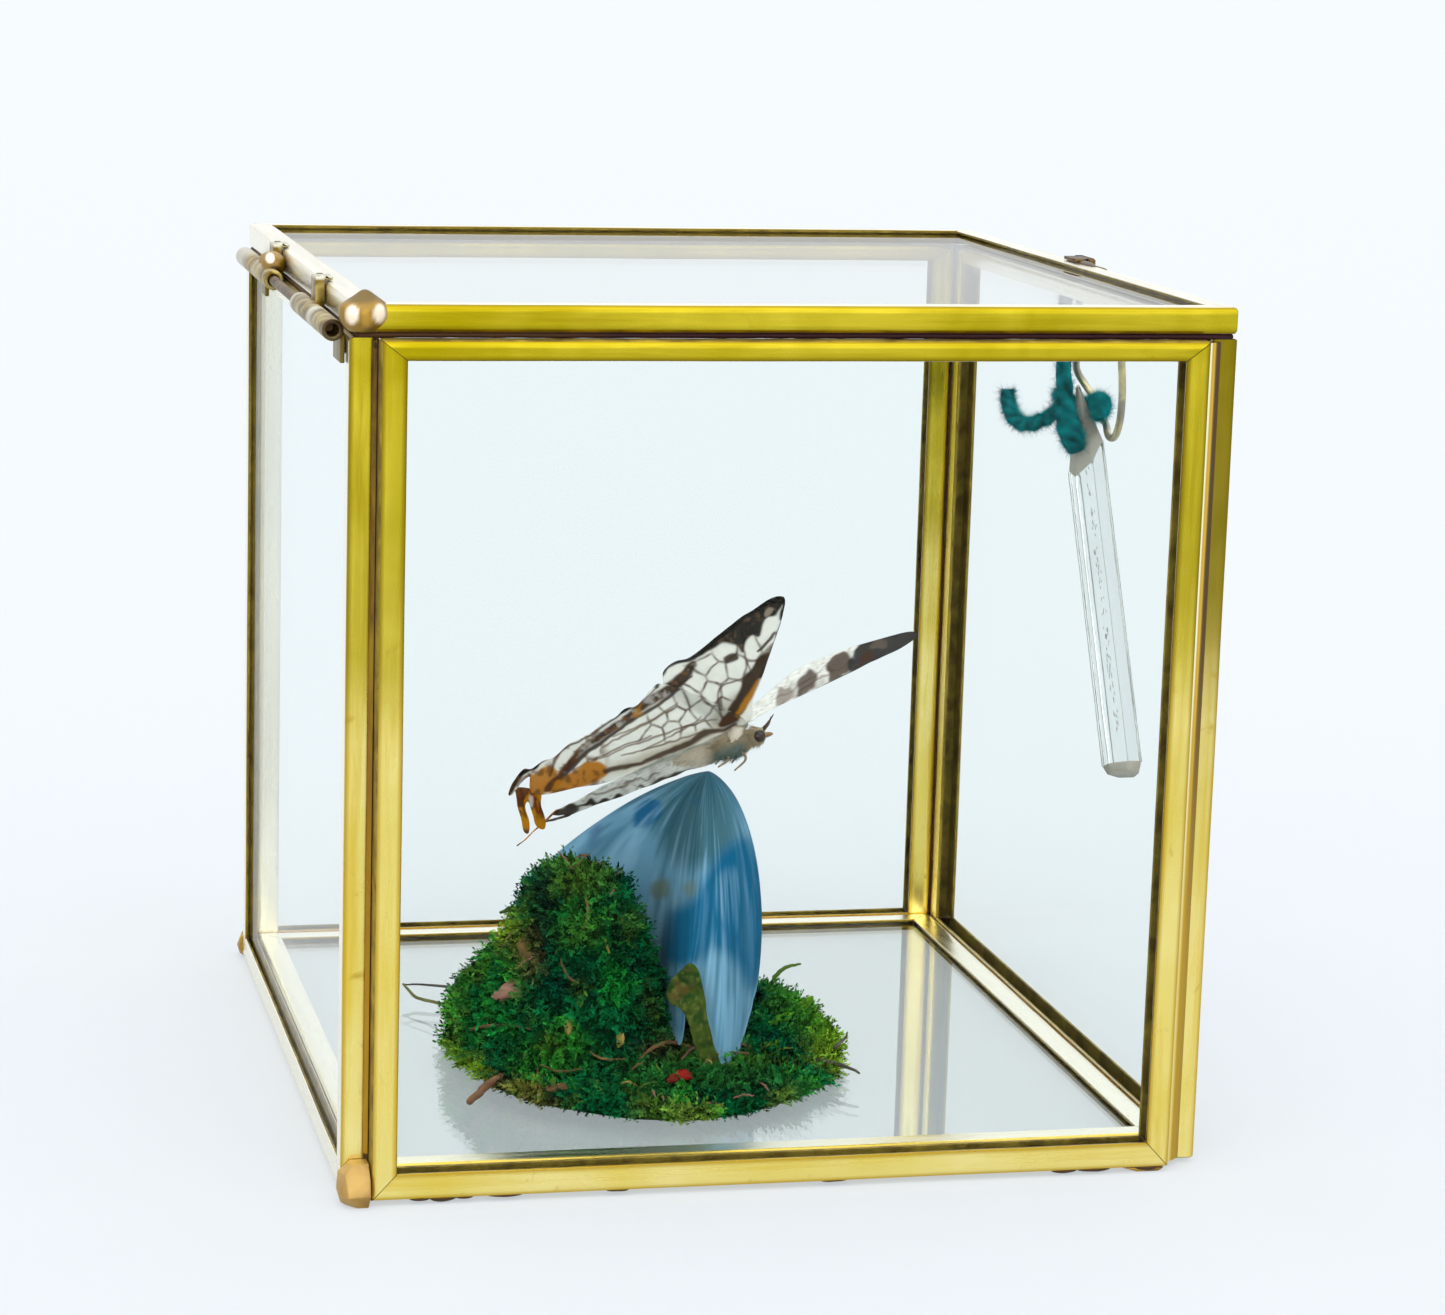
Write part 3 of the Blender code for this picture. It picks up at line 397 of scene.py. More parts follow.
SOLDER_GOLD = ((0.26, 0.14, 0.02), (0.52, 0.34, 0.06))
SOLDER_BROWN = ((0.05, 0.028, 0.010), (0.16, 0.095, 0.03))
SOLDER_TAN = ((0.23, 0.125, 0.02), (0.38, 0.23, 0.05))
PANE_TINT = (0.953, 0.977, 0.968)
PANE_INDEX = 1.06
OTHER_PANES = {"floor_glass": ((0.94, 0.97, 0.96), 1.42), "right_glass": (PANE_TINT, 1.02),
               "lid_glass": (PANE_TINT, 1.1)}


def solder(name, dark, light, scale=330, shine=0.8):
    """Lumpy solder in two tones, with blots of the given scale."""
    mat = Nodes(name)
    blots = mat.noise(mat.place(), scale=scale, detail=3, rough=0.5, distortion=0.4)
    fine = mat.noise(mat.place(), scale=1500, detail=3, rough=0.5)
    tone = mat.mix(mat.ramp(blots, (0.36, 0.0), (0.66, 1.0)), dark, light)
    mat.shade(color=tone, metallic=shine, roughness=mat.ramp(fine, (0.3, 0.36), (0.7, 0.5)))
    mat.bump(mat.math("ADD", blots, mat.math("MULTIPLY", fine, 0.2)), strength=0.25, distance=0.0002)
    return mat.made


def clear_glass(name, tint, ior):
    """Clear glass; a low index keeps its reflections faint."""
    mat = Nodes(name)
    mat.shade(color=tint, roughness=0.0, Transmission_Weight=1.0, IOR=ior)
    return mat.made


# ---------------------------------------------------------------- pieces from the frame's solids
def welded(node):
    """The mesh of a CAD node as a bmesh with its shared points joined and flat faces whole."""
    shape = bmesh.new()
    shape.from_mesh(frame["nodes"][node].data)
    bmesh.ops.remove_doubles(shape, verts=shape.verts, dist=1e-6)
    bmesh.ops.dissolve_limit(shape, angle_limit=math.radians(1), verts=shape.verts, edges=shape.edges)
    return shape


def piece(name, shape, body, materials, stands_for=(), smooth=40):
    """A bmesh as a finished object that rides on a body."""
    data = bpy.data.meshes.new(name)
    shape.to_mesh(data)
    shape.free()
    data.shade_smooth()
    data.set_sharp_from_angle(angle=math.radians(smooth))
    place_mesh(data, materials, body, stands_for)


def place_mesh(data, materials, body, stands_for=()):
    """A mesh as an object that rides on a body, in place of the CAD nodes that it stands for."""
    for mat in materials:
        data.materials.append(mat)
    obj = bpy.data.objects.new(data.name, data)
    bpy.context.scene.collection.objects.link(obj)
    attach(obj, body)
    if stands_for:
        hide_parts(*stands_for)


PANE_AXIS = {"front": 1, "back": 1, "left": 0, "right": 0, "floor": 2, "lid": 2}
PANE_POSTS = {"front": ("left", "right"), "back": ("left", "right"),
              "left": ("front", "back"), "right": ("front", "back")}

# in metres
# the band of painted shade along a channel's edges
EDGE_REACH = 0.0009            # how far the darker band reaches in from a channel's edges
EDGE_CUTS = (0.00012, 0.00035, EDGE_REACH)
EDGE_ROUND = 0.00009
LONG_EDGE = 0.01               # edges that are longer than this run along the channel
WAVE_STEP = 0.0035
WAVE_HIGH = 0.00004
CHANNEL_WEB = 0.00041          # the sheet that the channels are folded from
BEHIND_LIP = 0.0019
UNDER_LID = 0.0955             # faces looking up from here on lie under the lid and get painted shade

PALE_SHEEN_POST = "back_post_left"   # its inner face is washed pale: a painted sheen
BRIGHT, DARK, PALE_SHEEN_LOOK = range(3)  # the looks of a channel's faces


def cut_by_plane(shape, place, normal):
    """Splits the faces of a bmesh where a plane crosses them."""
    everything = list(shape.verts) + list(shape.edges) + list(shape.faces)
    bmesh.ops.bisect_plane(shape, geom=everything, plane_co=place, plane_no=normal)


def cut_across(shape, axis, where):
    """Splits a bmesh by a plane across one axis."""
    place, normal = [0.0] * 3, [0.0] * 3
    place[axis], normal[axis] = where, 1.0
    cut_by_plane(shape, place, normal)


def mark_edges(shape, through, inward, low, high):
    """Gives each flat face a value that rises to 1 at its long edges, and marks the folds between: the
    masks of painted shade.
    """
    edge = shape.loops.layers.float.new("edge")
    fold = shape.loops.layers.float.new("fold")
    for face in shape.faces:
        flat_across = {through: inward, inward: through}
        across = next((flat_across[a] for a in flat_across if abs(face.normal[a]) > 0.9), None)
        for loop in face.loops:
            if across is None:
                loop[fold] = 1.0
                continue
            place = loop.vert.co[across]
            gap = min(place - low[across], high[across] - place)
            loop[edge] = 1 - min(max(gap / EDGE_REACH, 0), 1)


def on_channel_back(middle, normal, low, high, inward):
    """True for a face on the channel's own back, which looks away from its pane."""
    back_is_low = (low[inward] + high[inward]) / 2 < at(*[size / 2 for size in BOX])[inward]
    back = low[inward] if back_is_low else high[inward]
    return (normal[inward] < 0) == back_is_low and abs(middle[inward] - back) < 0.0003


def channel_side(node, face, low, high, axes):
    """Which look a face of a channel has."""
    along, through, inward = axes
    pane = node.split("_")[0]
    middle, normal = face.calc_center_median(), face.normal
    depth = min(middle[through] - low[through], high[through] - middle[through])
    sideways = abs(normal[inward]) > 0.8
    on_back = on_channel_back(middle, normal, low, high, inward)
    in_slot = abs(normal[through]) > 0.8 and depth > CHANNEL_WEB * 0.8
    behind_lip = sideways and CHANNEL_WEB * 0.3 < depth < BEHIND_LIP and not on_back
    ledge = node.endswith("rail_top") and normal.z > 0.7 and inward == 2
    under_lid = pane not in ("lid", "floor") and normal.z > 0.8 and middle.z > UNDER_LID
    mitre = abs(normal[along]) > 0.5
    hidden_side = pane == "front" and "post" in node and sideways and on_back
    # painted shade in the slot, behind the lip, under the lid and on hidden sides; dark joints at the
    # mitres
    if in_slot or behind_lip or ledge or under_lid or mitre or hidden_side:
        return DARK
    return PALE_SHEEN_LOOK if node == PALE_SHEEN_POST and normal.y < -0.5 else BRIGHT


def dress_channel(node, body, looks):
    """A channel with softened edges, painted shade along them, a slight wave, and brown insides of painted
    shade and dark joints.
    """
    through = PANE_AXIS[node.split("_")[0]]
    shape = welded(node)
    points = np.array([v.co for v in shape.verts])
    low, high = points.min(axis=0), points.max(axis=0)
    along = int(np.argmax(high - low))
    inward = 3 - through - along
    long_edges = [e for e in shape.edges
                  if e.calc_length() > LONG_EDGE and e.calc_face_angle(0) > math.radians(50)]
    bmesh.ops.bevel(shape, geom=long_edges, offset=EDGE_ROUND, segments=2, profile=0.5, affect="EDGES")
    for cut in np.arange(low[along] + WAVE_STEP, high[along] - WAVE_STEP / 2, WAVE_STEP):
        cut_across(shape, along, cut)
    for axis in (through, inward):
        for reach in EDGE_CUTS:
            cut_across(shape, axis, low[axis] + reach)
            cut_across(shape, axis, high[axis] - reach)
    mark_edges(shape, through, inward, low, high)
    for face in shape.faces:
        face.material_index = channel_side(node, face, low, high, (along, through, inward))
    for vert in shape.verts:
        wave = noise.noise_vector(vert.co * 60) * WAVE_HIGH
        wave[along] = 0
        vert.co += wave
    face_look = looks.get(node, looks["XYZ"[along]])
    materials = (face_look, looks["dark"]) + ((looks["worn"],) if node == PALE_SHEEN_POST else ())
    piece("look_" + node, shape, body, materials, (node,), 15)


def soften(node, body, material, width, smooth=40):
    """A CAD solid with its edges rounded."""
    shape = welded(node)
    edges = [e for e in shape.edges if e.calc_face_angle(0) > math.radians(25)]
    bmesh.ops.bevel(shape, geom=edges, offset=width, segments=2, profile=0.6, affect="EDGES")
    piece("look_" + node, shape, body, (material,), (node,), smooth)


# ---------------------------------------------------------------- shapes shared by the grown pieces
def catmull(points, steps, closed=False):
    """A smooth curve through a few points, as an array."""
    pts = np.array(points, float)
    if closed:
        pts = np.vstack([pts[-1], pts, pts[0], pts[1]])
    else:
        pts = np.vstack([2 * pts[0] - pts[1], pts, 2 * pts[-1] - pts[-2]])
    a, b, c, d = pts[:-3], pts[1:-2], pts[2:-1], pts[3:]
    t = (np.arange(steps) / steps)[:, None, None]
    curve = 0.5 * (2 * b + (c - a) * t + (2 * a - 5 * b + 4 * c - d) * t ** 2
                   + (3 * b - a - 3 * c + d) * t ** 3)
    curve = np.swapaxes(curve, 0, 1).reshape(-1, pts.shape[1])
    return curve if closed else np.vstack([curve, pts[-2]])


def unit(v):
    """Directions with a length of 1."""
    return v / np.maximum(np.linalg.norm(v, axis=-1, keepdims=True), 1e-9)


def frames_along(path):
    """Directions across a path that don't twist along it."""
    along = unit(np.gradient(path, axis=0))
    side = np.cross(along[0], (0.31, 0.59, 0.74))
    sides = []
    for ahead in along:
        side = side - ahead * (side @ ahead)
        side = side / np.linalg.norm(side)
        sides.append(side)
    sides = np.array(sides)
    return along, sides, np.cross(along, sides)


def tube(path, radii, turns, closed=False):
    """Points and faces of a tube in the box's frame."""
    path = np.array(path, float)
    radii = np.broadcast_to(np.asarray(radii, float), (len(path),))
    _, side, other = frames_along(path)
    angle = np.arange(turns) * math.tau / turns
    points = (path[:, None] + (side[:, None] * np.cos(angle)[None, :, None]
                               + other[:, None] * np.sin(angle)[None, :, None]) * radii[:, None, None])
    rings = len(path)
    faces = []
    for i in range(rings if closed else rings - 1):
        for k in range(turns):
            low, high, after = i * turns, ((i + 1) % rings) * turns, (k + 1) % turns
            faces.append((low + k, low + after, high + after, high + k))
    if not closed:
        faces.append(tuple(range(turns))[::-1])
        faces.append(tuple(range((rings - 1) * turns, rings * turns)))
    return points.reshape(-1, 3), faces


def joined(parts):
    """Several (points, faces) as one."""
    points, faces, base = [], [], 0
    for some, its in parts:
        points.append(np.asarray(some))
        faces.extend(tuple(i + base for i in face) for face in its)
        base += len(some)
    return np.vstack(points), faces


def mesh_of(name, points, faces, colours=None, smooth=True, extra=None):
    """A mesh from points of the box's frame, with a colour for each point."""
    data = bpy.data.meshes.new(name)
    scene_points = (np.asarray(points) - np.array(ORIGIN)) * MM
    faces = faces.tolist() if hasattr(faces, "tolist") else faces
    data.from_pydata(scene_points.tolist(), [], faces)
    if colours is not None:
        layer = data.color_attributes.new("tint", "FLOAT_COLOR", "POINT")
        rgba = np.ones((len(points), 4), np.float32)
        rgba[:, :3] = colours
        layer.data.foreach_set("color", rgba.ravel())
    for key, values in (extra or {}).items():
        layer = data.attributes.new(key, "FLOAT", "POINT")
        layer.data.foreach_set("value", np.asarray(values, np.float32))
    if smooth:
        data.shade_smooth()
    return data


def tinted(name, roughness, **others):
    """A material that takes its colour from the points."""
    mat = Nodes(name)
    mat.shade(color=mat.attribute("tint", "Color"), roughness=roughness, **others)
    return mat


def lit_through(mat, share):
    """Lets part of the light through a thin sheet, in the sheet's own colour."""
    glow = mat.add("ShaderNodeBsdfTranslucent")
    blend = mat.add("ShaderNodeMixShader")
    mat.feed(glow.inputs["Color"], mat.attribute("tint", "Color"))
    blend.inputs[0].default_value = share
    mat.feed(blend.inputs[1], mat.shader.outputs[0])
    mat.feed(blend.inputs[2], glow.outputs[0])
    mat.feed(mat.tree.nodes["Material Output"].inputs["Surface"], blend.outputs[0])


def value_noise(points, scale, seed=0):
    """Smooth noise from -1 to 1 at points of two or three coordinates."""
    rng = np.random.default_rng(977 + seed)
    table = rng.uniform(-1, 1, 4096)
    p = np.asarray(points, float) / scale + 531.7
    cell = np.floor(p).astype(int)
    part = p - cell
    part = part * part * (3 - 2 * part)
    size = p.shape[1]
    total = np.zeros(len(p))
    for corner in range(2 ** size):
        offset = np.array([(corner >> k) & 1 for k in range(size)])
        where = cell + offset
        key = where[:, 0] * 73856093
        for k, prime in zip(range(1, size), (19349663, 83492791)):
            key = key ^ (where[:, k] * prime)
        weight = np.prod(np.where(offset, part, 1 - part), axis=1)
        total += weight * table[key & 4095]
    return total


def cloud(points, scale, seed=0, octaves=3):
    """Value noise in several sizes, from about -1 to 1."""
    total = 0
    for k in range(octaves):
        total = total + value_noise(points, scale / 2 ** k, seed=seed + 11 * k) / 2 ** k
    return total / (2 - 0.5 ** (octaves - 1))


# ---------------------------------------------------------------- painting by drawn shapes
def seen(points):
    """Where points of the box's frame lie in the drawing: the photograph's view of them."""
    local = (np.asarray(points) - np.array(EYE)) @ np.array(eye_turn())
    return np.stack([SIGHT_X + LENS_PX * local[:, 0] / local[:, 1],
                     SIGHT_Y - LENS_PX * local[:, 2] / local[:, 1]], axis=1)


def drawn(pixels, depth):
    """The points of the box's frame at depth Y that lie at these places of the drawing."""
    pixels = np.asarray(pixels, float)
    eye = np.array(EYE)
    local = np.stack([(pixels[:, 0] - SIGHT_X) / LENS_PX, np.ones(len(pixels)),
                      (SIGHT_Y - pixels[:, 1]) / LENS_PX], axis=1)
    ray = local @ np.array(eye_turn()).T
    return eye + ray * ((depth - eye[1]) / ray[:, 1])[:, None]


def soft_step(value, low, high):
    """0 below 'low', 1 above 'high' and a soft rise between them."""
    t = np.clip((value - low) / (high - low), 0, 1)
    return t * t * (3 - 2 * t)


def stroke_cover(p, line, widths, soft):
    """How much a brush stroke along a line covers each point."""
    line = catmull(line, steps=4) if len(line) > 2 else np.array(line, float)
    widths = np.interp(np.linspace(0, 1, len(line)), np.linspace(0, 1, len(np.atleast_1d(widths))),
                       np.atleast_1d(widths))
    cover = np.zeros(len(p))
    for a, b, wa, wb in zip(line[:-1], line[1:], widths[:-1], widths[1:]):
        run = b - a
        t = np.clip(((p - a) @ run) / (run @ run + 1e-9), 0, 1)
        gap = np.linalg.norm(p - a - t[:, None] * run, axis=1)
        half = (wa + (wb - wa) * t) / 2
        cover = np.maximum(cover, 1 - soft_step(gap, half - soft, half + soft))
    return cover


def inside_loop(p, loop):
    """Whether each point lies inside a closed loop, and how far it is from the loop."""
    inside = np.zeros(len(p), bool)
    gap = np.full(len(p), 1e9)
    for a, b in zip(loop, np.roll(loop, -1, axis=0)):
        run = b - a
        t = np.clip(((p - a) @ run) / (run @ run + 1e-9), 0, 1)
        gap = np.minimum(gap, np.linalg.norm(p - a - t[:, None] * run, axis=1))
        crosses = (a[1] > p[:, 1]) != (b[1] > p[:, 1])
        height = np.where(abs(run[1]) < 1e-9, 1e-9, run[1])
        inside ^= crosses & (p[:, 0] < a[0] + (p[:, 1] - a[1]) * run[0] / height)
    return inside, gap


def patch_cover(p, outline, soft):
    """How much a patch with a smooth outline covers each point."""
    inside, gap = inside_loop(p, catmull(outline, steps=5, closed=True))
    return 1 - soft_step(np.where(inside, -gap, gap), -soft, soft)


def lay(base, cover, colour, strength=1.0):
    """A colour, or one for each point, laid over the base."""
    share = np.clip(cover * strength, 0, 1)[:, None]
    return base * (1 - share) + np.asarray(colour, float) * share


def plain(points, colour):
    """One colour for all of the points."""
    return np.tile(np.array(colour), (len(points), 1))


def paint(tone, p, marks):
    """Lays marks over the base, each a row of points, widths, softness, colour, strength."""
    for points, widths, soft, colour, strength in marks:
        if widths is None:
            cover = patch_cover(p, points, soft)
        else:
            cover = stroke_cover(p, points, widths, soft)
        tone = lay(tone, cover, colour, strength)
    return tone


def net_cover(p, seeds, width, soft):
    """Thin lines between the cells that have the seeds as their middles."""
    seeds = np.array(seeds, float)
    square = ((p[:, None] - seeds[None]) ** 2).sum(axis=2)
    first = square.argmin(axis=1)
    nearest = square[np.arange(len(p)), first]
    apart = np.linalg.norm(seeds[first][:, None] - seeds[None], axis=2) + 1e-6
    edge = (square - nearest[:, None]) / (2 * apart)
    edge[np.arange(len(p)), first] = 1e9
    return 1 - soft_step(edge.min(axis=1), width / 2 - soft, width / 2 + soft)


# ---------------------------------------------------------------- hinge, solder and dark lines
GLINT = (0.86, 0.73, 0.56)
GOLD = (0.25, 0.145, 0.018)
GOLD_DARK = (0.13, 0.070, 0.008)
DOME_BROWN = (0.115, 0.072, 0.014)
SHADE_BLACK = (0.012, 0.003, 0.012)
SHADE_BROWN = (0.085, 0.040, 0.008)
SHADE_PURPLE = (0.022, 0.004, 0.010)
GAP_SHADE_R = 0.32
GAP_SHADE_Z = 95.83
LID_LINE = ((0.9, 2.4), (98.8, 2.4), (98.8, 104.7), (0.9, 104.7))     # X and Y of its corners
DRIP_Y = 0.85
# X, length and depth of each drip
DRIPS = ((8.6, 1.3, 0.35), (11.2, 1.6, 0.55), (13.6, 1.2, 0.3), (18.2, 2.2, 0.3), (31.0, 1.5, 0.22),
         (56.0, 1.8, 0.2), (83.4, 1.7, 0.45), (86.9, 2.2, 0.42), (93.4, 1.6, 0.56))


HINGE_OLIVE = ((0.13, 0.080, 0.008), (0.40, 0.31, 0.10))
HINGE_HIGHLIGHT_GREY, HINGE_CROWN_HIGHLIGHT, HINGE_UNDER = (0.50, 0.48, 0.40), (0.46, 0.43, 0.33), (0.16, 0.115, 0.02)
HINGE_HIGHLIGHT_STOPS = ((0.150, 0.0), (0.165, 1.0), (0.182, 1.0), (0.200, 0.0), (0.318, 0.0), (0.330, 1.0),
                    (0.36, 1.0), (0.60, 0.0), (0.80, 0.0), (0.86, 1.0))      # along Y, per 100 mm


def hinge_metal():
    """Olive tubes smeared with solder, with painted grey highlights at their ends and on top, and painted
    shade, nearly black, inside the front one.
    """
    mat = Nodes("hinge_metal")
    blots = mat.noise(mat.place(), scale=420, detail=3, rough=0.5, distortion=0.5)
    tone = mat.mix(mat.ramp(blots, (0.40, 0.0), (0.60, 1.0)), *HINGE_OLIVE)
    back = axis_share(mat, "Y", 0, 100)
    # painted highlights: grey along the tubes and on their tops
    tone = mat.mix(mat.math("MULTIPLY", mat.ramp(back, *HINGE_HIGHLIGHT_STOPS), 0.85), tone, HINGE_HIGHLIGHT_GREY)
    tone = mat.mix(height_share(mat, 99.2, 99.5), tone, HINGE_CROWN_HIGHLIGHT)
    tone = mat.mix(height_share(mat, 94.6, 95.2), HINGE_UNDER, tone)
    # painted shade, nearly black, inside the front tube's open end
    tone = mat.mix(mat.ramp(back, (0.0535, 1.0), (0.0545, 0.0)), tone, SHADE_BLACK)
    mat.shade(color=tone, metallic=0.75, roughness=0.36)
    mat.bump(blots, strength=0.4, distance=0.00025)
    return mat.made


def oval_cover(p, x, y, wide, high):
    """A soft oval spot of the drawing."""
    return 1 - soft_step(np.hypot((p[:, 0] - x) / wide, (p[:, 1] - y) / high), 0.65, 1.1)


def solder_lump(name, middle, radii, spots, floor_z, stands_for=(), peaked=False):
    """A round lump of solder with painted glints, painted shade and dark parts where the drawing has them.
    """
    points, faces = ball(middle, radii, turns=44, rows=30)
    away = unit(points - np.array(middle))
    points = points + away * (0.13 * value_noise(points, 1.5, seed=6))[:, None]
    if peaked:
        narrow = 1 - 0.45 * soft_step(points[:, 2] - middle[2], 0.25 * radii[2], 0.95 * radii[2])
        points[:, :2] = np.array(middle[:2]) + (points[:, :2] - middle[:2]) * narrow[:, None]
    points[:, 2] = np.maximum(points[:, 2], floor_z)
    p = seen(points)
    tone = lay(plain(points, GOLD), soft_step(cloud(points, 1.6, seed=12), -0.1, 0.5), GOLD_DARK, 0.8)
    for oval, colour, strength in spots:
        tone = lay(tone, oval_cover(p, *oval), colour, strength)
    mat = tinted("solder_" + name, roughness=0.4, Metallic=0.5)
    place_mesh(mesh_of(name, points, faces, tone), (mat.made,), "lid", stands_for)


def lid_gap_shade():
    """A dark tube in the gap under the lid's channels: painted shade in that gap, with purple blots."""
    parts = []
    for a, b in zip(LID_LINE, LID_LINE[1:] + LID_LINE[:1]):
        path = np.linspace((*a, GAP_SHADE_Z), (*b, GAP_SHADE_Z), 90)
        points, faces = tube(path, GAP_SHADE_R, turns=10)
        points = points + 0.03 * value_noise(points, 1.3, seed=3)[:, None]
        patches = soft_step(value_noise(points, 17, seed=25), -0.05, 0.35)
        tone = lay(plain(points, SHADE_BROWN), patches, SHADE_PURPLE, 0.9)
        parts.append((points, faces, tone))
    mat = tinted("gap_shade", roughness=0.6, Metallic=0.3, Specular_IOR_Level=0.2)
    place_mesh(mesh_of("lid_gap_shade", *merged(parts)), (mat.made,), "lid")


def drips():
    """Small drops of solder under the front rail, painted dark brown: painted shade under the rail."""
    parts = []
    for x, long, deep in DRIPS:
        points, faces = ball((x, DRIP_Y, 0.02), (long, 0.75, deep), turns=20, rows=12)
        away = unit(points - np.array((x, DRIP_Y, 0.0)))
        points = points + away * (0.08 * value_noise(points, 0.9, seed=8))[:, None]
        points[:, 2] = np.clip(points[:, 2], -0.58, 0.08)
        parts.append((points, faces, plain(points, SHADE_BROWN) * 0.7))
    mat = tinted("drip", roughness=0.4, Metallic=0.6)
    place_mesh(mesh_of("solder_drips", *merged(parts)), (mat.made,), "case")


CAULK_R = 0.2
# X and Y of the cracks in the upright corners
CAULK_LINES = ((2.95, 2.75), (2.75, 2.95), (2.95, 104.25), (2.75, 104.05),
               (97.05, 104.25), (97.25, 104.05), (95.86, 4.6), (96.89, 4.6))
CAULK_BROWN = (0.060, 0.030, 0.010)
PLUGS = ((2.9, 2.8), (2.9, 104.2), (97.1, 104.2), (96.4, 2.8))        # X and Y
PLUG_RADII = (0.32, 0.32, 0.7)
PLUG_SUNK = 0.75               # its middle, below the top of the walls
MITRE_HALF = 0.09
MITRE_SUNK = 0.1
MITRE_START = 0.35             # how far in from the corner a mitre's solder starts


def mitre_fill(pane):
    """Solder in the mitres of one pane's four channels: thin dark slivers."""
    through = PANE_AXIS[pane]
    if through == 2:
        ends = [f"rail_{side}" for side in ("front", "back", "left", "right")]
    else:
        ends = ["rail_bottom", "rail_top", *("post_" + side for side in PANE_POSTS[pane])]
    bounds = []
    for end in ends:
        points = to_box(np.array([v.co for v in frame["nodes"][f"{pane}_{end}"].data.vertices]))
        bounds.append((points.min(axis=0), points.max(axis=0)))
    u, v = [axis for axis in range(3) if axis != through]
    low = np.min([b[0] for b in bounds], axis=0)
    high = np.max([b[1] for b in bounds], axis=0)
    inner_u = (bounds[2][1][u], bounds[3][0][u])
    inner_v = (bounds[0][1][v], bounds[1][0][v])
    parts = []
    for side_u, edge_u in enumerate((low[u], high[u])):
        for side_v, edge_v in enumerate((low[v], high[v])):
            outer = np.array((edge_u, edge_v))
            inner = np.array((inner_u[side_u], inner_v[side_v]))
            run = (inner - outer) / np.linalg.norm(inner - outer)
            across = np.array((-run[1], run[0])) * MITRE_HALF
            outer = outer + run * MITRE_START
            loop = (outer - across, inner - across, inner + across, outer + across)
            points = np.zeros((8, 3))
            for k, depth in enumerate((low[through] + MITRE_SUNK, high[through] - MITRE_SUNK)):
                for i, place in enumerate(loop):
                    points[k * 4 + i, (u, v)] = place
                    points[k * 4 + i, through] = depth
            faces = [(3, 2, 1, 0), (4, 5, 6, 7)]
            faces += [(i, (i + 1) % 4, 4 + (i + 1) % 4, 4 + i) for i in range(4)]
            parts.append((points, faces, plain(points, CAULK_BROWN)))
    return parts


def dark_joints():
    """Old solder in the upright corners' cracks and in the mitres."""
    mat = tinted("joint_solder", roughness=0.6, Metallic=0.3, Specular_IOR_Level=0.2)
    parts = []
    for x, y in CAULK_LINES:
        path = np.linspace((x, y, 0.6), (x, y, BOX[2]), 60)
        points, faces = tube(path, CAULK_R, turns=8)
        parts.append((points, faces, plain(points, CAULK_BROWN)))
    for x, y in PLUGS:
        points, faces = ball((x, y, BOX[2] - PLUG_SUNK), PLUG_RADII, turns=20, rows=12)
        points = points + 0.06 * value_noise(points, 0.8, seed=5)[:, None]
        points[:, 2] = np.minimum(points[:, 2], BOX[2])
        parts.append((points, faces, plain(points, CAULK_BROWN) * 0.6))
    for pane in ("front", "back", "left", "right", "floor"):
        parts += mitre_fill(pane)
    pieces = (("joint_solder", "case", parts), ("lid_joint_solder", "lid", mitre_fill("lid")))
    for name, body, some in pieces:
        place_mesh(mesh_of(name, *merged(some), smooth=False), (mat.made,), body)


# name, middle, radii, spots (an oval of the drawing, its colour and strength), lowest Z, CAD node, peaked
# the glint spots are painted highlights; the black spot and the brown band at the lid blob's foot are
# painted shade
LUMPS = (
    ("lid_corner_blob", (1.6, 3.2, 98.1), (2.75, 2.5, 2.45),
     (((362, 292, 25, 13), DOME_BROWN, 0.95), ((352, 315, 7, 11), GLINT, 0.95),
      ((380, 314, 7, 11), GLINT, 0.95), ((366, 318, 6, 10), (0.46, 0.26, 0.03), 0.6),
      ((362, 336, 24, 4), SHADE_BROWN, 0.8)), 96.13, ("lid_corner_solder",), True),
    ("hinge_solder", (-0.95, 65.3, 97.45), (1.45, 2.7, 1.6),
     (((270, 258, 5, 6), GLINT, 0.95), ((275, 271, 8, 6), SHADE_BLACK, 0.8),
      ((284, 268, 5, 8), GOLD_DARK, 0.6)), 95.0),
    ("hinge_solder_rear", (-1.0, 71.8, 97.0), (1.0, 1.7, 1.3),
     (((258, 250, 8, 5), DOME_BROWN, 0.8),), 95.0),
    ("clasp_solder", (98.7, 55.6, 99.15), (0.75, 5.6, 0.42),
     (((1075, 262, 60, 30), (0.050, 0.030, 0.012), 0.9),), 98.0),
)


def hinge_and_solder():
    """The lumps of solder on the lid, the dark tube of painted shade under it, drips and dark joints."""
    for lump in LUMPS:
        solder_lump(*lump)
    lid_gap_shade()
    drips()
    dark_joints()


# ---------------------------------------------------------------- butterfly
WING_ROOT = np.array((54.2, 44.9, 43.6))
HEADING, PITCH, ROLL = (math.radians(a) for a in (-19.8, 29.5, -18.4))
NEAR_WINGS = (10.6, 0.0, 0.0)
FAR_FOREWING = (19.0, 7.5, -10.0)
FAR_HINDWING = (3.0, -18.0, -2.0)
FOREWING = ((0.2, 1.6), (5.1, 3.6), (9.8, 6.4), (15.2, 9.4), (19.8, 12.0), (23.6, 14.1), (28.4, 16.3),
            (30.2, 16.3), (30.8, 15.2), (30.0, 12.8), (29.8, 11.2), (28.9, 9.2), (27.6, 6.7),
            (26.4, 4.4), (25.8, 2.6), (26.6, 1.4), (26.2, 0.0), (24.6, -1.2), (19.3, -2.5),
            (9.2, -2.0), (0.2, -1.2))
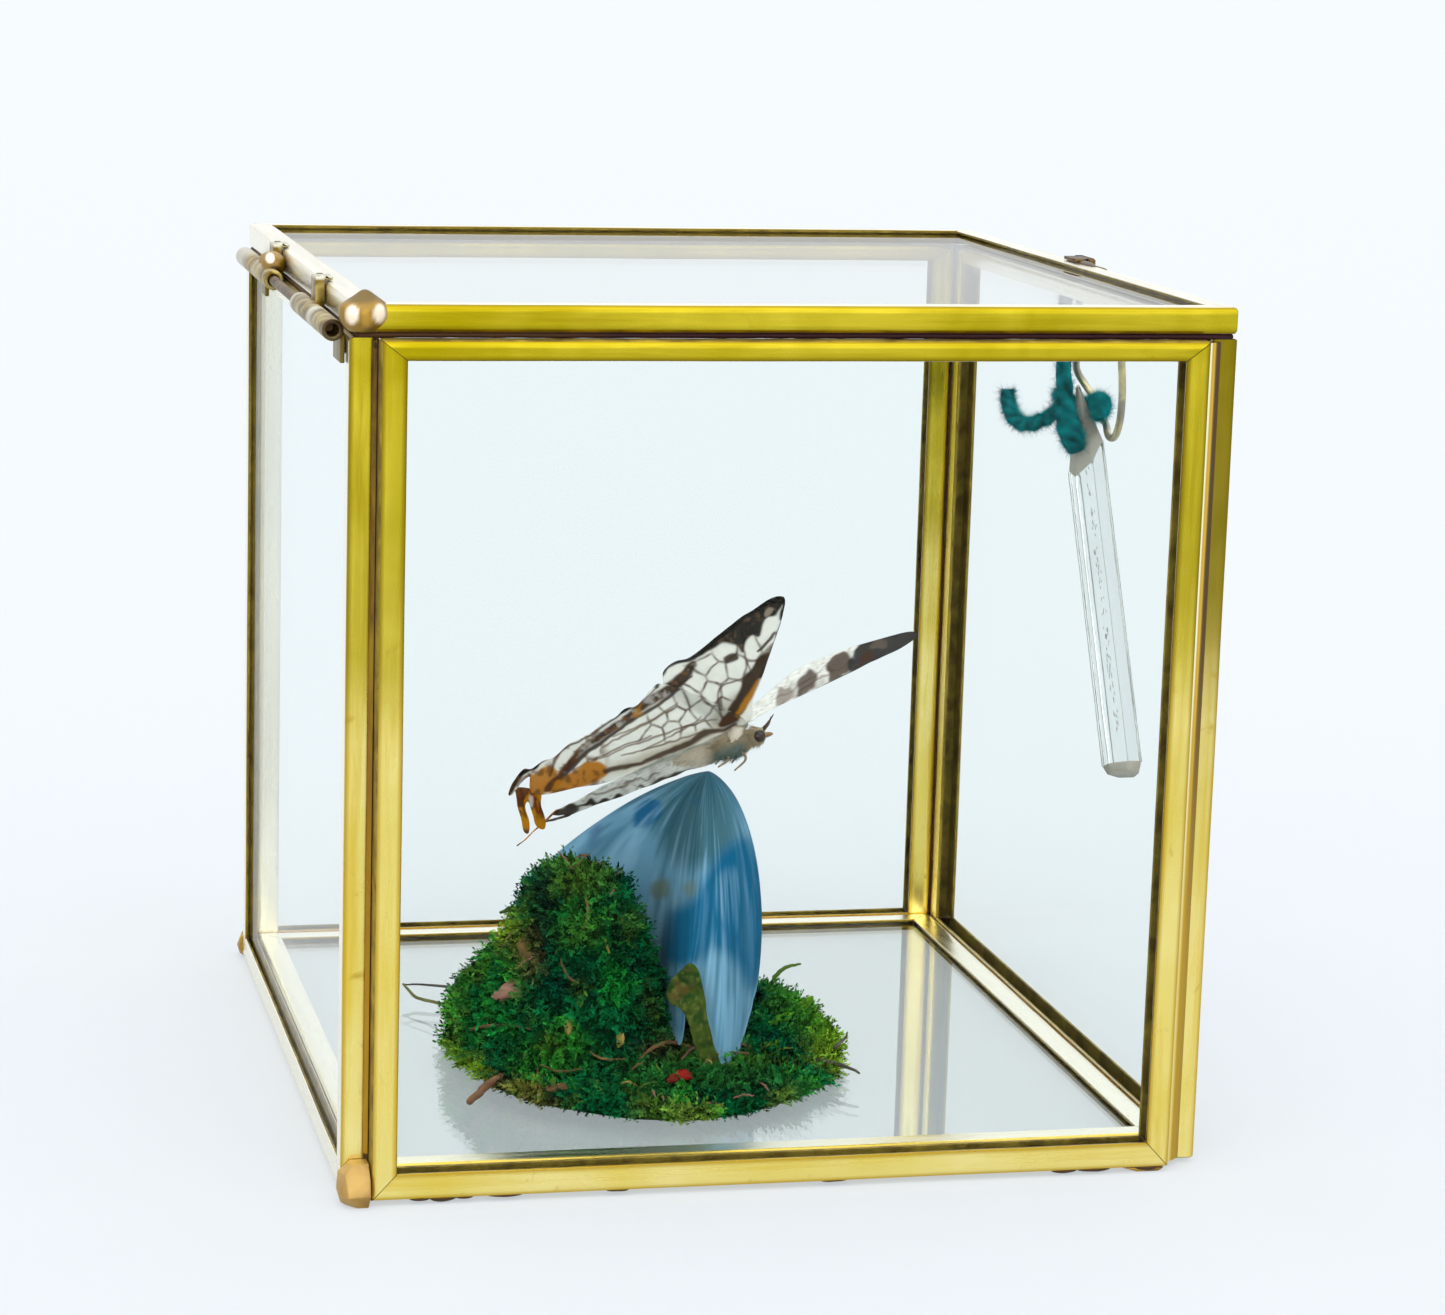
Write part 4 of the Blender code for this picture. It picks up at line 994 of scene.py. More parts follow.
FAR_WING = ((0.2, 1.6), (2.4, 2.1), (7.1, 5.0), (13.7, 10.1), (18.6, 13.1), (22.9, 16.2), (26.0, 17.2),
            (29.5, 17.2), (32.6, 16.0), (33.7, 14.0), (33.4, 9.9), (32.8, 5.3), (28.1, 1.4), (21.0, 0.2),
            (13.9, -0.6), (6.0, -1.6), (0.2, -1.2))
HINDWING = ((0.2, 1.0), (9.0, 0.4), (17.0, -0.6), (23.2, -2.0), (23.2, -3.4), (21.9, -4.8),
            (20.6, -6.3), (21.3, -7.7), (20.3, -9.3), (20.5, -10.8), (19.5, -12.9), (19.6, -14.8),
            (19.1, -16.6), (17.8, -18.7), (18.2, -20.1), (17.7, -21.9), (18.6, -22.6), (16.6, -24.8),
            (13.9, -26.7), (13.5, -26.3), (15.6, -24.0), (15.9, -22.9), (12.9, -24.2), (10.2, -24.8),
            (8.2, -23.6), (6.3, -20.8), (3.5, -18.1), (1.5, -13.3), (0.3, -8.2), (0.2, -1.0))
LOBES = ((13.8, -0.3), (14.0, 1.6), (13.5, 3.4), (13.2, 5.0), (12.2, 5.2), (12.1, 3.6), (12.4, 1.8),
         (11.6, 1.2), (10.9, 2.6), (10.6, 4.0), (9.2, 4.4), (8.6, 3.4), (9.2, 1.6), (9.0, -0.3))

CREAM = (0.93, 0.925, 0.88)
UMBER = (0.078, 0.036, 0.014)
SOOT = (0.012, 0.009, 0.007)
RUST = (0.17, 0.046, 0.010)
AMBER = (0.68, 0.33, 0.010)
PLUM = (0.095, 0.055, 0.042)


def butterfly_axes():
    """Directions ahead, to the butterfly's left and up from its back."""
    ahead = np.array((math.cos(HEADING) * math.cos(PITCH), math.sin(HEADING) * math.cos(PITCH),
                      math.sin(PITCH)))
    left = np.array((-math.sin(HEADING), math.cos(HEADING), 0))
    up = np.cross(ahead, left)
    side = left * math.cos(ROLL) + up * math.sin(ROLL)
    return ahead, side, np.cross(ahead, side)


def wing_axes(sign, pose):
    """The outward, forward and upward directions of one wing from its rise, sweep and twist."""
    ahead, side, up = butterfly_axes()
    rise, sweep, twist = (math.radians(a) for a in pose)
    out = side * sign * math.cos(rise) + up * math.sin(rise)
    over = np.cross(ahead, out) * sign
    front = ahead * math.cos(twist) + over * math.sin(twist)
    over = over * math.cos(twist) - ahead * math.sin(twist)
    return (out * math.cos(sweep) + front * math.sin(sweep),
            front * math.cos(sweep) - out * math.sin(sweep), over)


def plate(outline, spacing):
    """Points and triangles that fill an outline in its own plane, and the edges around them."""
    loop = catmull(outline, steps=5, closed=True)
    keep = [loop[0]]
    for point in loop[1:]:
        if np.linalg.norm(point - keep[-1]) > spacing * 0.7:
            keep.append(point)
    loop = np.array(keep)
    low, high = loop.min(axis=0), loop.max(axis=0)
    xs = np.arange(low[0], high[0], spacing)
    ys = np.arange(low[1], high[1], spacing * 0.87)
    shift = (0, 0.5 * spacing)
    grid = np.array([(x + shift[k % 2], y) for k, y in enumerate(ys) for x in xs])
    inside, gap = inside_loop(grid, loop)
    grid = grid[inside & (gap > spacing * 0.45)]
    count = len(loop)
    every = np.vstack([loop, grid])
    edges = [(i, (i + 1) % count) for i in range(count)]
    made = geometry.delaunay_2d_cdt([Vector(p) for p in every], edges, [], 1, 1e-7)
    flat = np.array([tuple(v) for v in made[0]])
    sides = {}
    for face in made[2]:
        for k in range(3):
            sides[(face[k], face[(k + 1) % 3])] = True
    rim = [(a, b) for a, b in sides if (b, a) not in sides]
    return flat, [tuple(f) for f in made[2]], rim


def two_sided(count, faces, rim):
    """Faces of a thin closed sheet: both sides of a plate of 'count' points, and the strip around it."""
    back = [tuple(i + count for i in face[::-1]) for face in faces]
    return list(faces) + back + [(b, a, a + count, b + count) for a, b in rim]


def shell(flat, faces, rim, lift_to, thick):
    """A plate as a thin closed sheet whose two sides are lifted from the plate's plane."""
    points = np.vstack([lift_to(flat, thick / 2), lift_to(flat, -thick / 2)])
    return points, two_sided(len(flat), faces, rim)


NET_BROWN = (0.175, 0.120, 0.080)
VEIN_BROWN = (0.30, 0.22, 0.15)
MOTTLE_LIGHT, MOTTLE_DARK = (0.155, 0.085, 0.038), (0.018, 0.010, 0.006)
MARGIN_RUST = (0.25, 0.095, 0.016)
STAIN = (0.20, 0.075, 0.014)

# Marks on the wings, in places of the drawing. Each is its points, the widths of a stroke or None for
# a patch, how soft its edge is, its colour and its strength. The bloom and the moss have such marks too.
WING_SHADES = (        # beige shadow toward the wing roots
    (((590, 770), (640, 752), (700, 728), (735, 716), (720, 728), (680, 748), (640, 764), (600, 772)),
     None, 6, (0.56, 0.48, 0.34), 0.55),
    (((722, 700), (742, 690), (738, 712), (722, 722), (708, 722)), None, 5, (0.55, 0.49, 0.4), 0.5),
)
NET_FIELD = ((684, 664), (712, 650), (731, 643), (743, 648), (752, 634), (762, 634),
             (760, 658), (744, 684), (730, 704), (718, 722), (700, 726), (678, 734), (648, 742),
             (634, 732), (650, 708), (672, 690))
NET_CELLS = ((706, 663), (722, 648), (751, 646), (737, 668), (716, 672), (731, 689),
             (724, 707), (696, 683), (710, 691), (690, 694), (680, 698), (700, 707), (675, 711),
             (686, 718), (657, 714), (714, 716), (672, 726), (652, 731), (688, 729), (766, 640),
             (752, 672), (700, 650), (668, 702), (640, 722), (702, 728))
WING_VEINS = (((592, 758), (640, 739), (690, 722), (716, 716)), ((600, 745), (640, 723),
              (672, 706)), ((620, 753), (660, 742), (700, 729)), ((612, 734), (650, 717), (676, 701)),
              ((575, 766), (610, 748), (650, 733)), ((640, 748), (680, 728), (700, 714)))
WING_CELL_MARKS = (    # dark marks between the cells of the net
    (((743, 646), (746, 660), (750, 671), (742, 678), (722, 684), (717, 700), (721, 716)),
     (1.6, 1.5, 1.6), 0.8, (0.22, 0.15, 0.1), 0.85),
    (((724, 656), (736, 652), (737, 659), (726, 663)), None, 1.5, UMBER, 0.9),
    (((716, 700), (721, 697), (722, 706), (717, 707)), None, 1.6, UMBER, 0.7),
)
BROWN_FIELD = ((698, 655), (712, 648), (722, 642), (731, 643), (737, 646), (743, 652),
               (746, 640), (752, 634), (759, 635), (762, 624), (768, 617), (776, 614), (784, 596),
               (762, 600), (744, 612), (726, 626), (706, 644))
WING_FRONT_MARKS = (   # the forewing's black border and the band along its front edge
    (((764, 613), (768, 607), (773, 608), (771, 613), (766, 617)), None, 1.2, (0.52, 0.44, 0.34), 0.85),
    (((763, 634), (765, 624), (771, 619), (776, 620), (774, 628), (768, 636)), None, 1.3, CREAM, 0.97),
    (((786, 594), (771, 598), (757, 606), (744, 614), (730, 625), (713, 639), (700, 650), (690, 657),
     (677, 660), (667, 666), (660, 675), (655, 684)), (15, 11, 9, 8, 8, 8, 7, 6, 6, 5, 4, 3), 1.2, SOOT,
     0.95),
    (((786, 596), (785, 606), (780, 617)), (10, 6, 3), 1.2, SOOT, 1.0),
    (((784, 608), (781, 621), (776, 637), (768, 656), (760, 676)), (3.2, 3.0, 3.2, 4.0, 4.2), 0.9,
     (0.045, 0.026, 0.018), 1.0),
    (((758, 650), (766, 641), (775, 632)), (2.4, 2.8, 2.0), 1.0, UMBER, 0.9),
    (((761, 652), (769, 644), (774, 642), (769, 655), (761, 668), (756, 664)), None, 2.0,
     (0.26, 0.2, 0.15), 0.75),
    (((768, 652), (761, 672), (755, 688), (748, 702), (741, 713), (731, 721), (719, 723), (722, 714),
     (731, 703), (737, 693), (741, 684), (743, 676), (751, 667), (758, 656)), None, 1.6, UMBER, 0.97),
    (((757, 680), (750, 694), (742, 706), (736, 713)), (2, 5, 6, 4), 1.8, AMBER, 0.9),
    (((720, 721), (728, 716), (736, 717)), (4, 7, 3), 1.8, RUST, 0.85),
)
MARGIN_LINE = ((692, 664), (682, 677), (668, 687), (649, 698), (636, 707), (626, 716),
               (608, 727), (592, 738), (579, 748), (563, 768), (553, 781))
MARGIN_WIDTHS = (8, 11, 10, 9, 8, 7, 7, 6, 6, 7, 6)
WING_TAIL_MARKS = (    # twin lines down the margin, amber and rust at the tail end
    (((691, 675), (672, 691), (654, 704), (636, 714), (613, 730), (595, 743), (581, 753), (567, 769),
     (554, 785)), (2, 3, 3.2, 3.4, 3.6, 4.4, 4.6, 4.4, 4), 1.1, PLUM, 0.92),
    (((640, 701), (634, 712), (640, 710)), (3, 6, 3), 1.5, AMBER, 0.7),
    (((657, 684), (650, 690), (643, 697), (637, 704), (630, 706)), (1.6, 1.4, 1.4, 1.6, 1.4), 0.8,
     (0.1, 0.07, 0.05), 0.75),
    (((628, 704), (622, 708), (616, 713)), (5, 5.5, 3), 1.0, SOOT, 1.0),
    (((616, 714), (606, 720), (592, 730), (578, 738), (566, 743), (556, 752), (545, 757), (536, 761)),
     (1.8, 2, 1.8), 0.9, (0.07, 0.05, 0.04), 0.85),
    (((588, 758), (601, 760), (607, 767), (597, 778), (576, 786), (552, 792), (548, 782), (568, 772),
     (580, 763)), None, 2.0, AMBER, 0.95),
    (((534, 770), (547, 763), (556, 768), (552, 781), (541, 792), (527, 792), (524, 776)), None, 2.0,
     AMBER, 0.92),
    (((571, 758), (560, 770), (546, 786)), (5, 5, 6), 1.5, RUST, 0.8),
    (((556, 752), (552, 762), (549, 772)), (4, 3, 3), 1.2, RUST, 0.75),
    (((528, 772), (523, 784), (524, 794)), (3, 3, 4), 1.2, RUST, 0.7),
    (((541, 758), (535, 762), (526, 766), (517, 774), (511, 786), (507, 792)), (3, 5, 7, 5, 4, 4), 1.0,
     SOOT, 1.0),
)
WING_SPINE = (         # the long brown line above the body
    (((604, 768), (640, 760), (664, 750), (690, 739), (703, 730), (722, 727), (734, 721)), (5, 4, 5, 6,
     7, 4, 3), 1.5, (0.15, 0.085, 0.045), 0.92),
)


def wing_paint(flat):
    """The colours of the upper side, drawn on the near wings as the photograph shows them."""
    out, front, _ = wing_axes(-1, NEAR_WINGS)
    p = seen(WING_ROOT + flat[:, :1] * out + flat[:, 1:] * front)
    p = p + np.stack([value_noise(p, 7, seed=1), value_noise(p, 7, seed=2)], axis=1) * 0.9
    fine = cloud(p, 5, seed=5)
    tone = plain(p, CREAM) * (1 + 0.05 * fine[:, None])
    tone = paint(tone, p, WING_SHADES)
    net = net_cover(p, NET_CELLS, 2.0, 1.0) * patch_cover(p, NET_FIELD, 4)
    tone = lay(tone, net * (0.75 + 0.5 * fine), NET_BROWN, 0.95)
    tone = paint(tone, p, [(line, (1.2, 2.0, 1.3), 0.8, VEIN_BROWN, 0.75) for line in WING_VEINS])
    tone = paint(tone, p, WING_CELL_MARKS)
    mottle = soft_step(cloud(p, 4.5, seed=21), -0.1, 0.5)[:, None]
    brown = np.array(MOTTLE_LIGHT) * mottle + np.array(MOTTLE_DARK) * (1 - mottle)
    tone = lay(tone, patch_cover(p, BROWN_FIELD, 1.4), brown, 0.97)
    tone = paint(tone, p, WING_FRONT_MARKS)
    broken = 0.45 + 0.55 * soft_step(cloud(p, 6, seed=22), -0.4, 0.1)
    rusty = np.where(mottle > 0.55, np.array(MARGIN_RUST), np.array(UMBER))
    tone = lay(tone, stroke_cover(p, MARGIN_LINE, MARGIN_WIDTHS, 1.6) * broken, rusty, 0.95)
    tone = paint(tone, p, WING_TAIL_MARKS)
    stains = soft_step(cloud(p, 6.5, seed=27), 0.05, 0.4) * (1 - soft_step(p[:, 0], 596, 612))
    tone = lay(tone, stains, STAIN, 0.6)
    tone = paint(tone, p, WING_SPINE)
    return np.clip(tone, 0, 1)


FAR_MARKS = (
    (((826, 684), (828, 668), (836, 655), (846, 650), (852, 660), (846, 674), (834, 682)), None, 1.4,
     UMBER, 0.9),
    (((798, 698), (798, 682), (808, 668), (818, 672), (814, 686), (804, 696)), None, 1.4, UMBER, 0.85),
    (((776, 706), (782, 690), (790, 684), (792, 694), (784, 706)), None, 1.4, (0.22, 0.15, 0.1), 0.7),
    (((850, 676), (852, 656), (862, 640), (884, 628), (914, 620), (918, 652), (884, 664)), None, 1.4,
     SOOT, 0.95),
    (((858, 662), (864, 650), (872, 650), (868, 660), (862, 666)), None, 1.4, UMBER, 0.9),
    (((872, 643), (880, 638), (888, 639), (884, 645), (874, 648)), None, 1.4, (0.16, 0.12, 0.09), 0.8),
    (((576, 806), (600, 798), (640, 792), (672, 782), (690, 776), (690, 782), (650, 798), (600, 806)),
     None, 1.4, UMBER, 0.95),
    (((540, 820), (552, 808), (574, 803), (576, 812), (556, 820), (542, 826)), None, 1.4,
     (0.1, 0.055, 0.03), 0.9),
    (((536, 832), (540, 827), (549, 827), (552, 833), (548, 838), (538, 838)), None, 1.4, SOOT, 0.97),
    (((640, 786), (664, 776), (700, 764), (728, 757), (728, 762), (690, 774), (660, 784)), None, 1.4,
     UMBER, 0.92),
)
FAR_LINES = (((582, 798), (620, 786), (660, 772)), ((780, 706), (806, 688), (830, 672),
             (852, 662)), ((776, 700), (800, 684), (830, 664)))
FAR_NET_PLACES = [(x, y) for x in range(4, 32, 3) for y in range(-24, 18, 3)]
FAR_NET = tuple((x + 0.6 * math.sin(7.3 * k), y + 0.5 * math.cos(5.1 * k))
                for k, (x, y) in enumerate(FAR_NET_PLACES))
FAR_NET_BROWN = (0.30, 0.24, 0.19)
FAR_GREY = (0.50, 0.47, 0.42)
FAR_LINE_BROWN = (0.26, 0.17, 0.11)


def far_wing_paint(flat, points):
    """The colours of the far wings, drawn where the photograph shows them."""
    p = seen(points)
    p = p + np.stack([value_noise(p, 7, seed=3), value_noise(p, 7, seed=4)], axis=1) * 3.5
    tone = np.tile(np.array(CREAM) * 0.93, (len(p), 1)) * (1 + 0.07 * cloud(p, 6, seed=6)[:, None])
    tone = lay(tone, net_cover(flat, FAR_NET, 0.16, 0.09), FAR_NET_BROWN, 0.55)
    tone = lay(tone, soft_step(cloud(p, 9, seed=23), 0.0, 0.5), FAR_GREY, 0.5)
    tone = paint(tone, p, [(line, (1.2, 2.0, 1.2), 0.8, FAR_LINE_BROWN, 0.6) for line in FAR_LINES])
    tone = paint(tone, p, FAR_MARKS)
    return np.clip(tone, 0, 1)


def wing_shape(outline, sign, pose, lift, spacing, thick):
    """One wing as a thin painted sheet."""
    out, front, over = wing_axes(sign, pose)
    flat, faces, rim = plate(outline, spacing)

    def lift_to(q, level):
        ripple = 0.10 * value_noise(q, 3.1, seed=7) + 0.05 * value_noise(q, 1.3, seed=8)
        return (WING_ROOT + q[:, :1] * out + q[:, 1:] * front
                + over * (lift + level + ripple * 0.5)[:, None])

    if sign < 0:
        faces = [f[::-1] for f in faces]
        rim = [(b, a) for a, b in rim]
    points, all_faces = shell(flat, faces, rim, lift_to, thick)
    tone = wing_paint(flat) if sign < 0 else far_wing_paint(flat, points[:len(flat)])
    under = tone * 0.95 + np.array((0.03, 0.03, 0.025))
    return points, all_faces, np.vstack([tone, np.clip(under, 0, 1)])


LOBE_DIRT = (0.17, 0.055, 0.02)
LOBE_TIP = (0.06, 0.04, 0.03)
LOBE_LINES = (
    (((11.0, -0.3), (10.4, 1.0), (10.0, 2.4)), (0.7, 0.8, 0.5), 0.2, (0.26, 0.02, 0.015), 0.8),
    (((13.2, 0.0), (12.8, 2.0), (12.6, 3.2)), (0.4, 0.5, 0.3), 0.2, UMBER, 0.8),
)
LOBE_PALE = ((((10.6, 0.4), (11.6, 0.6), (11.4, 1.8), (10.8, 1.6)), None, 0.25, CREAM, 0.7),)


def lobe_shape(sign, pose, droop_deg, spacing, thick):
    """The lobes of one hindwing, a thin sheet that meets its hind edge and droops from there."""
    out, front, over = wing_axes(sign, pose)
    droop = math.radians(droop_deg)
    away = -front * math.cos(droop) - over * math.sin(droop)
    side = over * math.cos(droop) - front * math.sin(droop)
    flat, faces, rim = plate(LOBES, spacing)

    def lift_to(q, level):
        edge = (WING_ROOT + q[:, :1] * out - front * (24.1 + 0.25 * (q[:, :1] - 8)) - over * 0.32)
        return edge + away * q[:, 1:] + side * (level + 0.12 * value_noise(q, 1.7, seed=4))[:, None]

    points, all_faces = shell(flat, faces, rim, lift_to, thick)
    run = flat[:, 1]
    dirt = soft_step(cloud(flat, 1.1, seed=31), -0.2, 0.3) * (1 - soft_step(run, 2.2, 3.8))
    tone = lay(plain(flat, AMBER), dirt, LOBE_DIRT, 0.95)
    tone = paint(tone, flat, LOBE_LINES)
    tone = lay(tone, soft_step(run, 4.4, 5.3), LOBE_TIP, 0.8)
    tone = paint(tone, flat, LOBE_PALE)
    return points, all_faces, np.vstack([tone, tone * 0.85])


def hairs(roots, directions, lengths, widths, colours, bend, rng, parts=2):
    """Fine tapering strips, each bent a little from its own direction."""
    count = len(roots)
    directions = unit(directions)
    across = unit(np.cross(directions, rng.normal(size=(count, 3))))
    sag = unit(rng.normal(size=(count, 3))) * bend
    points, faces = [], []
    for k in range(parts + 1):
        t = k / parts
        middle = roots + directions * (lengths * t)[:, None] + sag * (lengths * t * t)[:, None]
        half = (widths * (1 - t) / 2)[:, None] * across
        if k < parts:
            points += [middle - half, middle + half]
        else:
            points.append(middle)
    per = len(points)
    stacked = np.stack(points, axis=1).reshape(-1, 3)
    base = np.arange(count)[:, None] * per
    for k in range(parts):
        low = 2 * k
        if k < parts - 1:
            faces.append(np.hstack([base + low, base + low + 1, base + low + 3]))
            faces.append(np.hstack([base + low, base + low + 3, base + low + 2]))
        else:
            faces.append(np.hstack([base + low, base + low + 1, base + low + 2]))
    return stacked, np.vstack(faces), np.repeat(colours, per, axis=0)


BODY = (((57.1, 43.4, 42.75), 0.3), ((56.8, 43.45, 42.65), 0.8), ((56.1, 43.7, 42.3), 1.12),
        ((55.3, 44.1, 41.95), 0.95), ((54.9, 44.25, 41.8), 1.2), ((54.1, 44.6, 41.45), 1.62),
        ((53.2, 45.0, 41.0), 1.78), ((52.3, 45.4, 40.5), 1.55), ((51.5, 45.75, 40.05), 1.05),
        ((50.4, 46.2, 39.75), 1.15), ((49.4, 46.6, 39.5), 1.2), ((48.4, 47.1, 39.2), 1.05),
        ((47.5, 47.5, 38.9), 0.8), ((46.6, 47.9, 38.6), 0.3))


BODY_TURNS = 28
BODY_HAIRS = 5200
BALD_RINGS = 8                 # rings of the head that carry no hair
BODY_FAWN, BODY_TEAL, BODY_PALE = (0.30, 0.24, 0.15), (0.075, 0.125, 0.115), (0.62, 0.56, 0.46)
LEG = ((0.24, 0.16, 0.1), (0.24, 0.18, 0.11))              # radii and colour
FEELER = ((0.2, 0.13, 0.06), (0.10, 0.07, 0.05))
SNOUT = ((0.4, 0.3, 0.12), (0.26, 0.16, 0.08))
WING_STUMP = ((1.2, 1.0, 0.7), BODY_PALE)
LIMBS = (
    (((54.0, 44.0, 40.7), (54.6, 43.0, 39.6), (53.2, 42.9, 38.2)), LEG),
    (((52.6, 44.6, 39.8), (52.4, 43.3, 39.4), (51.2, 43.2, 38.6)), LEG),
    (((54.0, 45.2, 40.7), (54.9, 46.6, 39.9), (53.9, 47.2, 38.2)), LEG),
    (((52.6, 45.8, 39.8), (52.9, 47.3, 39.3), (52.0, 47.9, 37.9)), LEG),
    (((56.6, 43.3, 42.9), (57.3, 42.8, 44.0), (57.5, 42.6, 44.9)), FEELER),
    (((56.6, 43.8, 42.9), (57.6, 44.0, 44.0), (58.2, 44.1, 44.9)), FEELER),
    (((56.8, 43.4, 42.4), (57.5, 43.2, 42.6), (57.95, 43.1, 42.7)), SNOUT),
    (((53.4, 44.4, 41.6), (53.6, 44.3, 42.5), (53.8, 44.2, 43.4)), WING_STUMP),
    (((53.6, 45.4, 41.6), (53.8, 45.45, 42.5), (54.1, 45.5, 43.5)), WING_STUMP),
)
EYES = (((56.2, 42.75, 42.5), (0.72, 0.5, 0.78)), ((56.5, 44.35, 42.5), (0.5, 0.42, 0.6)))
EYE_TONES = ((0.3, (0.012, 0.006, 0.005)), (0.7, (0.035, 0.015, 0.01)))
SHEET = 0.1                    # thickness of the wings


def body_shape(rng):
    """Head, thorax and tail of the body, with its hair."""
    path = catmull([p for p, _ in BODY], steps=6)
    radii = np.interp(np.linspace(0, 1, len(path)), np.linspace(0, 1, len(BODY)), [r for _, r in BODY])
    points, faces = tube(path, radii, turns=BODY_TURNS)
    rings = np.repeat(np.linspace(0, 1, len(path)), BODY_TURNS)
    ahead, _, up = butterfly_axes()
    normal = unit(points - np.repeat(path, BODY_TURNS, axis=0))
    rise = normal @ up
    points = points + normal * (0.06 * value_noise(points, 0.6, seed=3))[:, None]
    tone = plain(points, BODY_FAWN) * (1 + 0.25 * value_noise(points, 0.5, seed=9))[:, None]
    thorax = soft_step(rings, 0.25, 0.36) * (1 - soft_step(rings, 0.6, 0.7))
    tone = lay(tone, (1 - soft_step(rise, -0.6, 0.2)) * thorax, BODY_TEAL, 0.85)
    tone = lay(tone, soft_step(rings, 0.6, 0.75), BODY_PALE, 0.8)
    tone = lay(tone, soft_step(rise, 0.3, 0.8) * soft_step(rings, 0.2, 0.35), BODY_PALE, 0.6)
    count = BODY_HAIRS
    pick = rng.integers(BODY_TURNS * BALD_RINGS, len(points) - BODY_TURNS, count)
    lean = unit(-ahead + normal[pick] * 0.75 + rng.normal(size=(count, 3)) * 0.25)
    shade = tone[pick] * rng.uniform(0.7, 1.5, (count, 1))
    long = rng.uniform(0.35, 0.95, count)
    fuzz = hairs(points[pick], lean, long, np.full(count, 0.05), shade, 0.25, rng)
    return (points, faces, tone), fuzz


def ball(middle, radii, turns, rows, lean=None):
    """An ellipsoid; 'lean' gives its own axes."""
    tilt = np.linspace(-math.pi / 2, math.pi / 2, rows + 1)[1:-1]
    turn = np.arange(turns) * math.tau / turns
    grid = np.stack([np.outer(np.cos(tilt), np.cos(turn)), np.outer(np.cos(tilt), np.sin(turn)),
                     np.outer(np.sin(tilt), np.ones(turns))], axis=-1).reshape(-1, 3)
    local = np.vstack([grid, (0, 0, -1), (0, 0, 1)]) * np.array(radii)
    if lean is not None:
        local = local @ np.array(lean)
    faces = []
    for r in range(rows - 2):
        for k in range(turns):
            after = (k + 1) % turns
            faces.append((r * turns + k, r * turns + after, (r + 1) * turns + after, (r + 1) * turns + k))
    low, high, last = len(grid), len(grid) + 1, (rows - 2) * turns
    for k in range(turns):
        after = (k + 1) % turns
        faces.append((low, after, k))
        faces.append((high, last + k, last + after))
    return local + np.array(middle), faces


def butterfly(rng):
    """Two meshes of wings, one of the body with its limbs and hair, and one of the eyes."""
    wings = [wing_shape(FOREWING, -1, NEAR_WINGS, -0.05, 0.18, SHEET),
             wing_shape(HINDWING, -1, NEAR_WINGS, -0.32, 0.18, SHEET)]
    near = mesh_of("butterfly_near_wings", *merged(wings))
    wings = [wing_shape(FAR_WING, 1, FAR_FOREWING, -0.05, 0.32, SHEET),
             wing_shape(HINDWING, 1, FAR_HINDWING, -0.32, 0.3, SHEET),
             lobe_shape(1, FAR_HINDWING, 20, 0.2, SHEET), lobe_shape(-1, NEAR_WINGS, 75, 0.14, SHEET)]
    far = mesh_of("butterfly_far_wings", *merged(wings))
    parts = list(body_shape(rng))
    for line, (radii, colour) in LIMBS:
        path = catmull(line, steps=6)
        points, faces = tube(path, np.interp(np.linspace(0, 1, len(path)), (0, 0.5, 1), radii), turns=10)
        parts.append((points, faces, plain(points, colour)))
    body = mesh_of("butterfly_body", *merged(parts))
    balls = [ball(middle, radii, turns=20, rows=14) for middle, radii in EYES]
    eyes = mesh_of("butterfly_eyes", *joined(balls))
    scales = tinted("wing_scales", roughness=0.8, Specular_IOR_Level=0.1)
    lit_through(scales, 0.5)
    fleece = tinted("body_hair", roughness=0.85, Specular_IOR_Level=0.2)
    bead = Nodes("eye")
    bead.shade(color=bead.ramp(bead.noise(bead.place(), scale=4000, detail=2), *EYE_TONES), roughness=0.25)
    for data, mat in ((near, scales), (far, scales), (body, fleece), (eyes, bead)):
        place_mesh(data, (mat.made,), "case", ("butterfly",))


def merged(parts):
    """Several (points, faces, colours) as the arguments of one mesh."""
    points, faces = joined([(p, [tuple(f) for f in fs]) for p, fs, _ in parts])
    return points, faces, np.vstack([np.asarray(c) for _, _, c in parts])


# ---------------------------------------------------------------- bloom
BLOOM_TOP = np.array((50.5, 45.2, 37.6))
BLOOM_RIBS = (
    ((51.0, 38.5, 34.9), (51.0, 30.0, 20.0), (49.6, 28.4, 4.3)),
    ((54.8, 42.5, 35.6), (56.8, 39.0, 24.0), (55.4, 37.5, 12.0)),
    ((55.9, 47.0, 35.2), (59.7, 50.0, 22.0), (57.6, 51.5, 9.0)),
    ((54.2, 51.5, 35.4), (57.5, 56.5, 25.0), (55.0, 58.0, 14.5)),
    ((50.0, 53.5, 35.4), (49.5, 61.5, 24.0), (47.5, 62.5, 8.5)),
    ((45.2, 51.5, 35.4), (42.4, 59.5, 28.0), (40.0, 61.0, 18.5)),
    ((45.6, 47.5, 35.9), (39.0, 51.0, 31.4), (33.2, 54.5, 24.6)),
    ((46.5, 45.0, 34.9), (44.0, 46.0, 27.0), (43.0, 47.0, 16.0)),
    ((47.5, 41.0, 35.4), (45.0, 33.0, 22.0), (44.6, 31.6, 7.2)),
    ((48.8, 39.0, 35.4), (47.8, 31.0, 25.0), (46.2, 32.0, 16.4)),
)


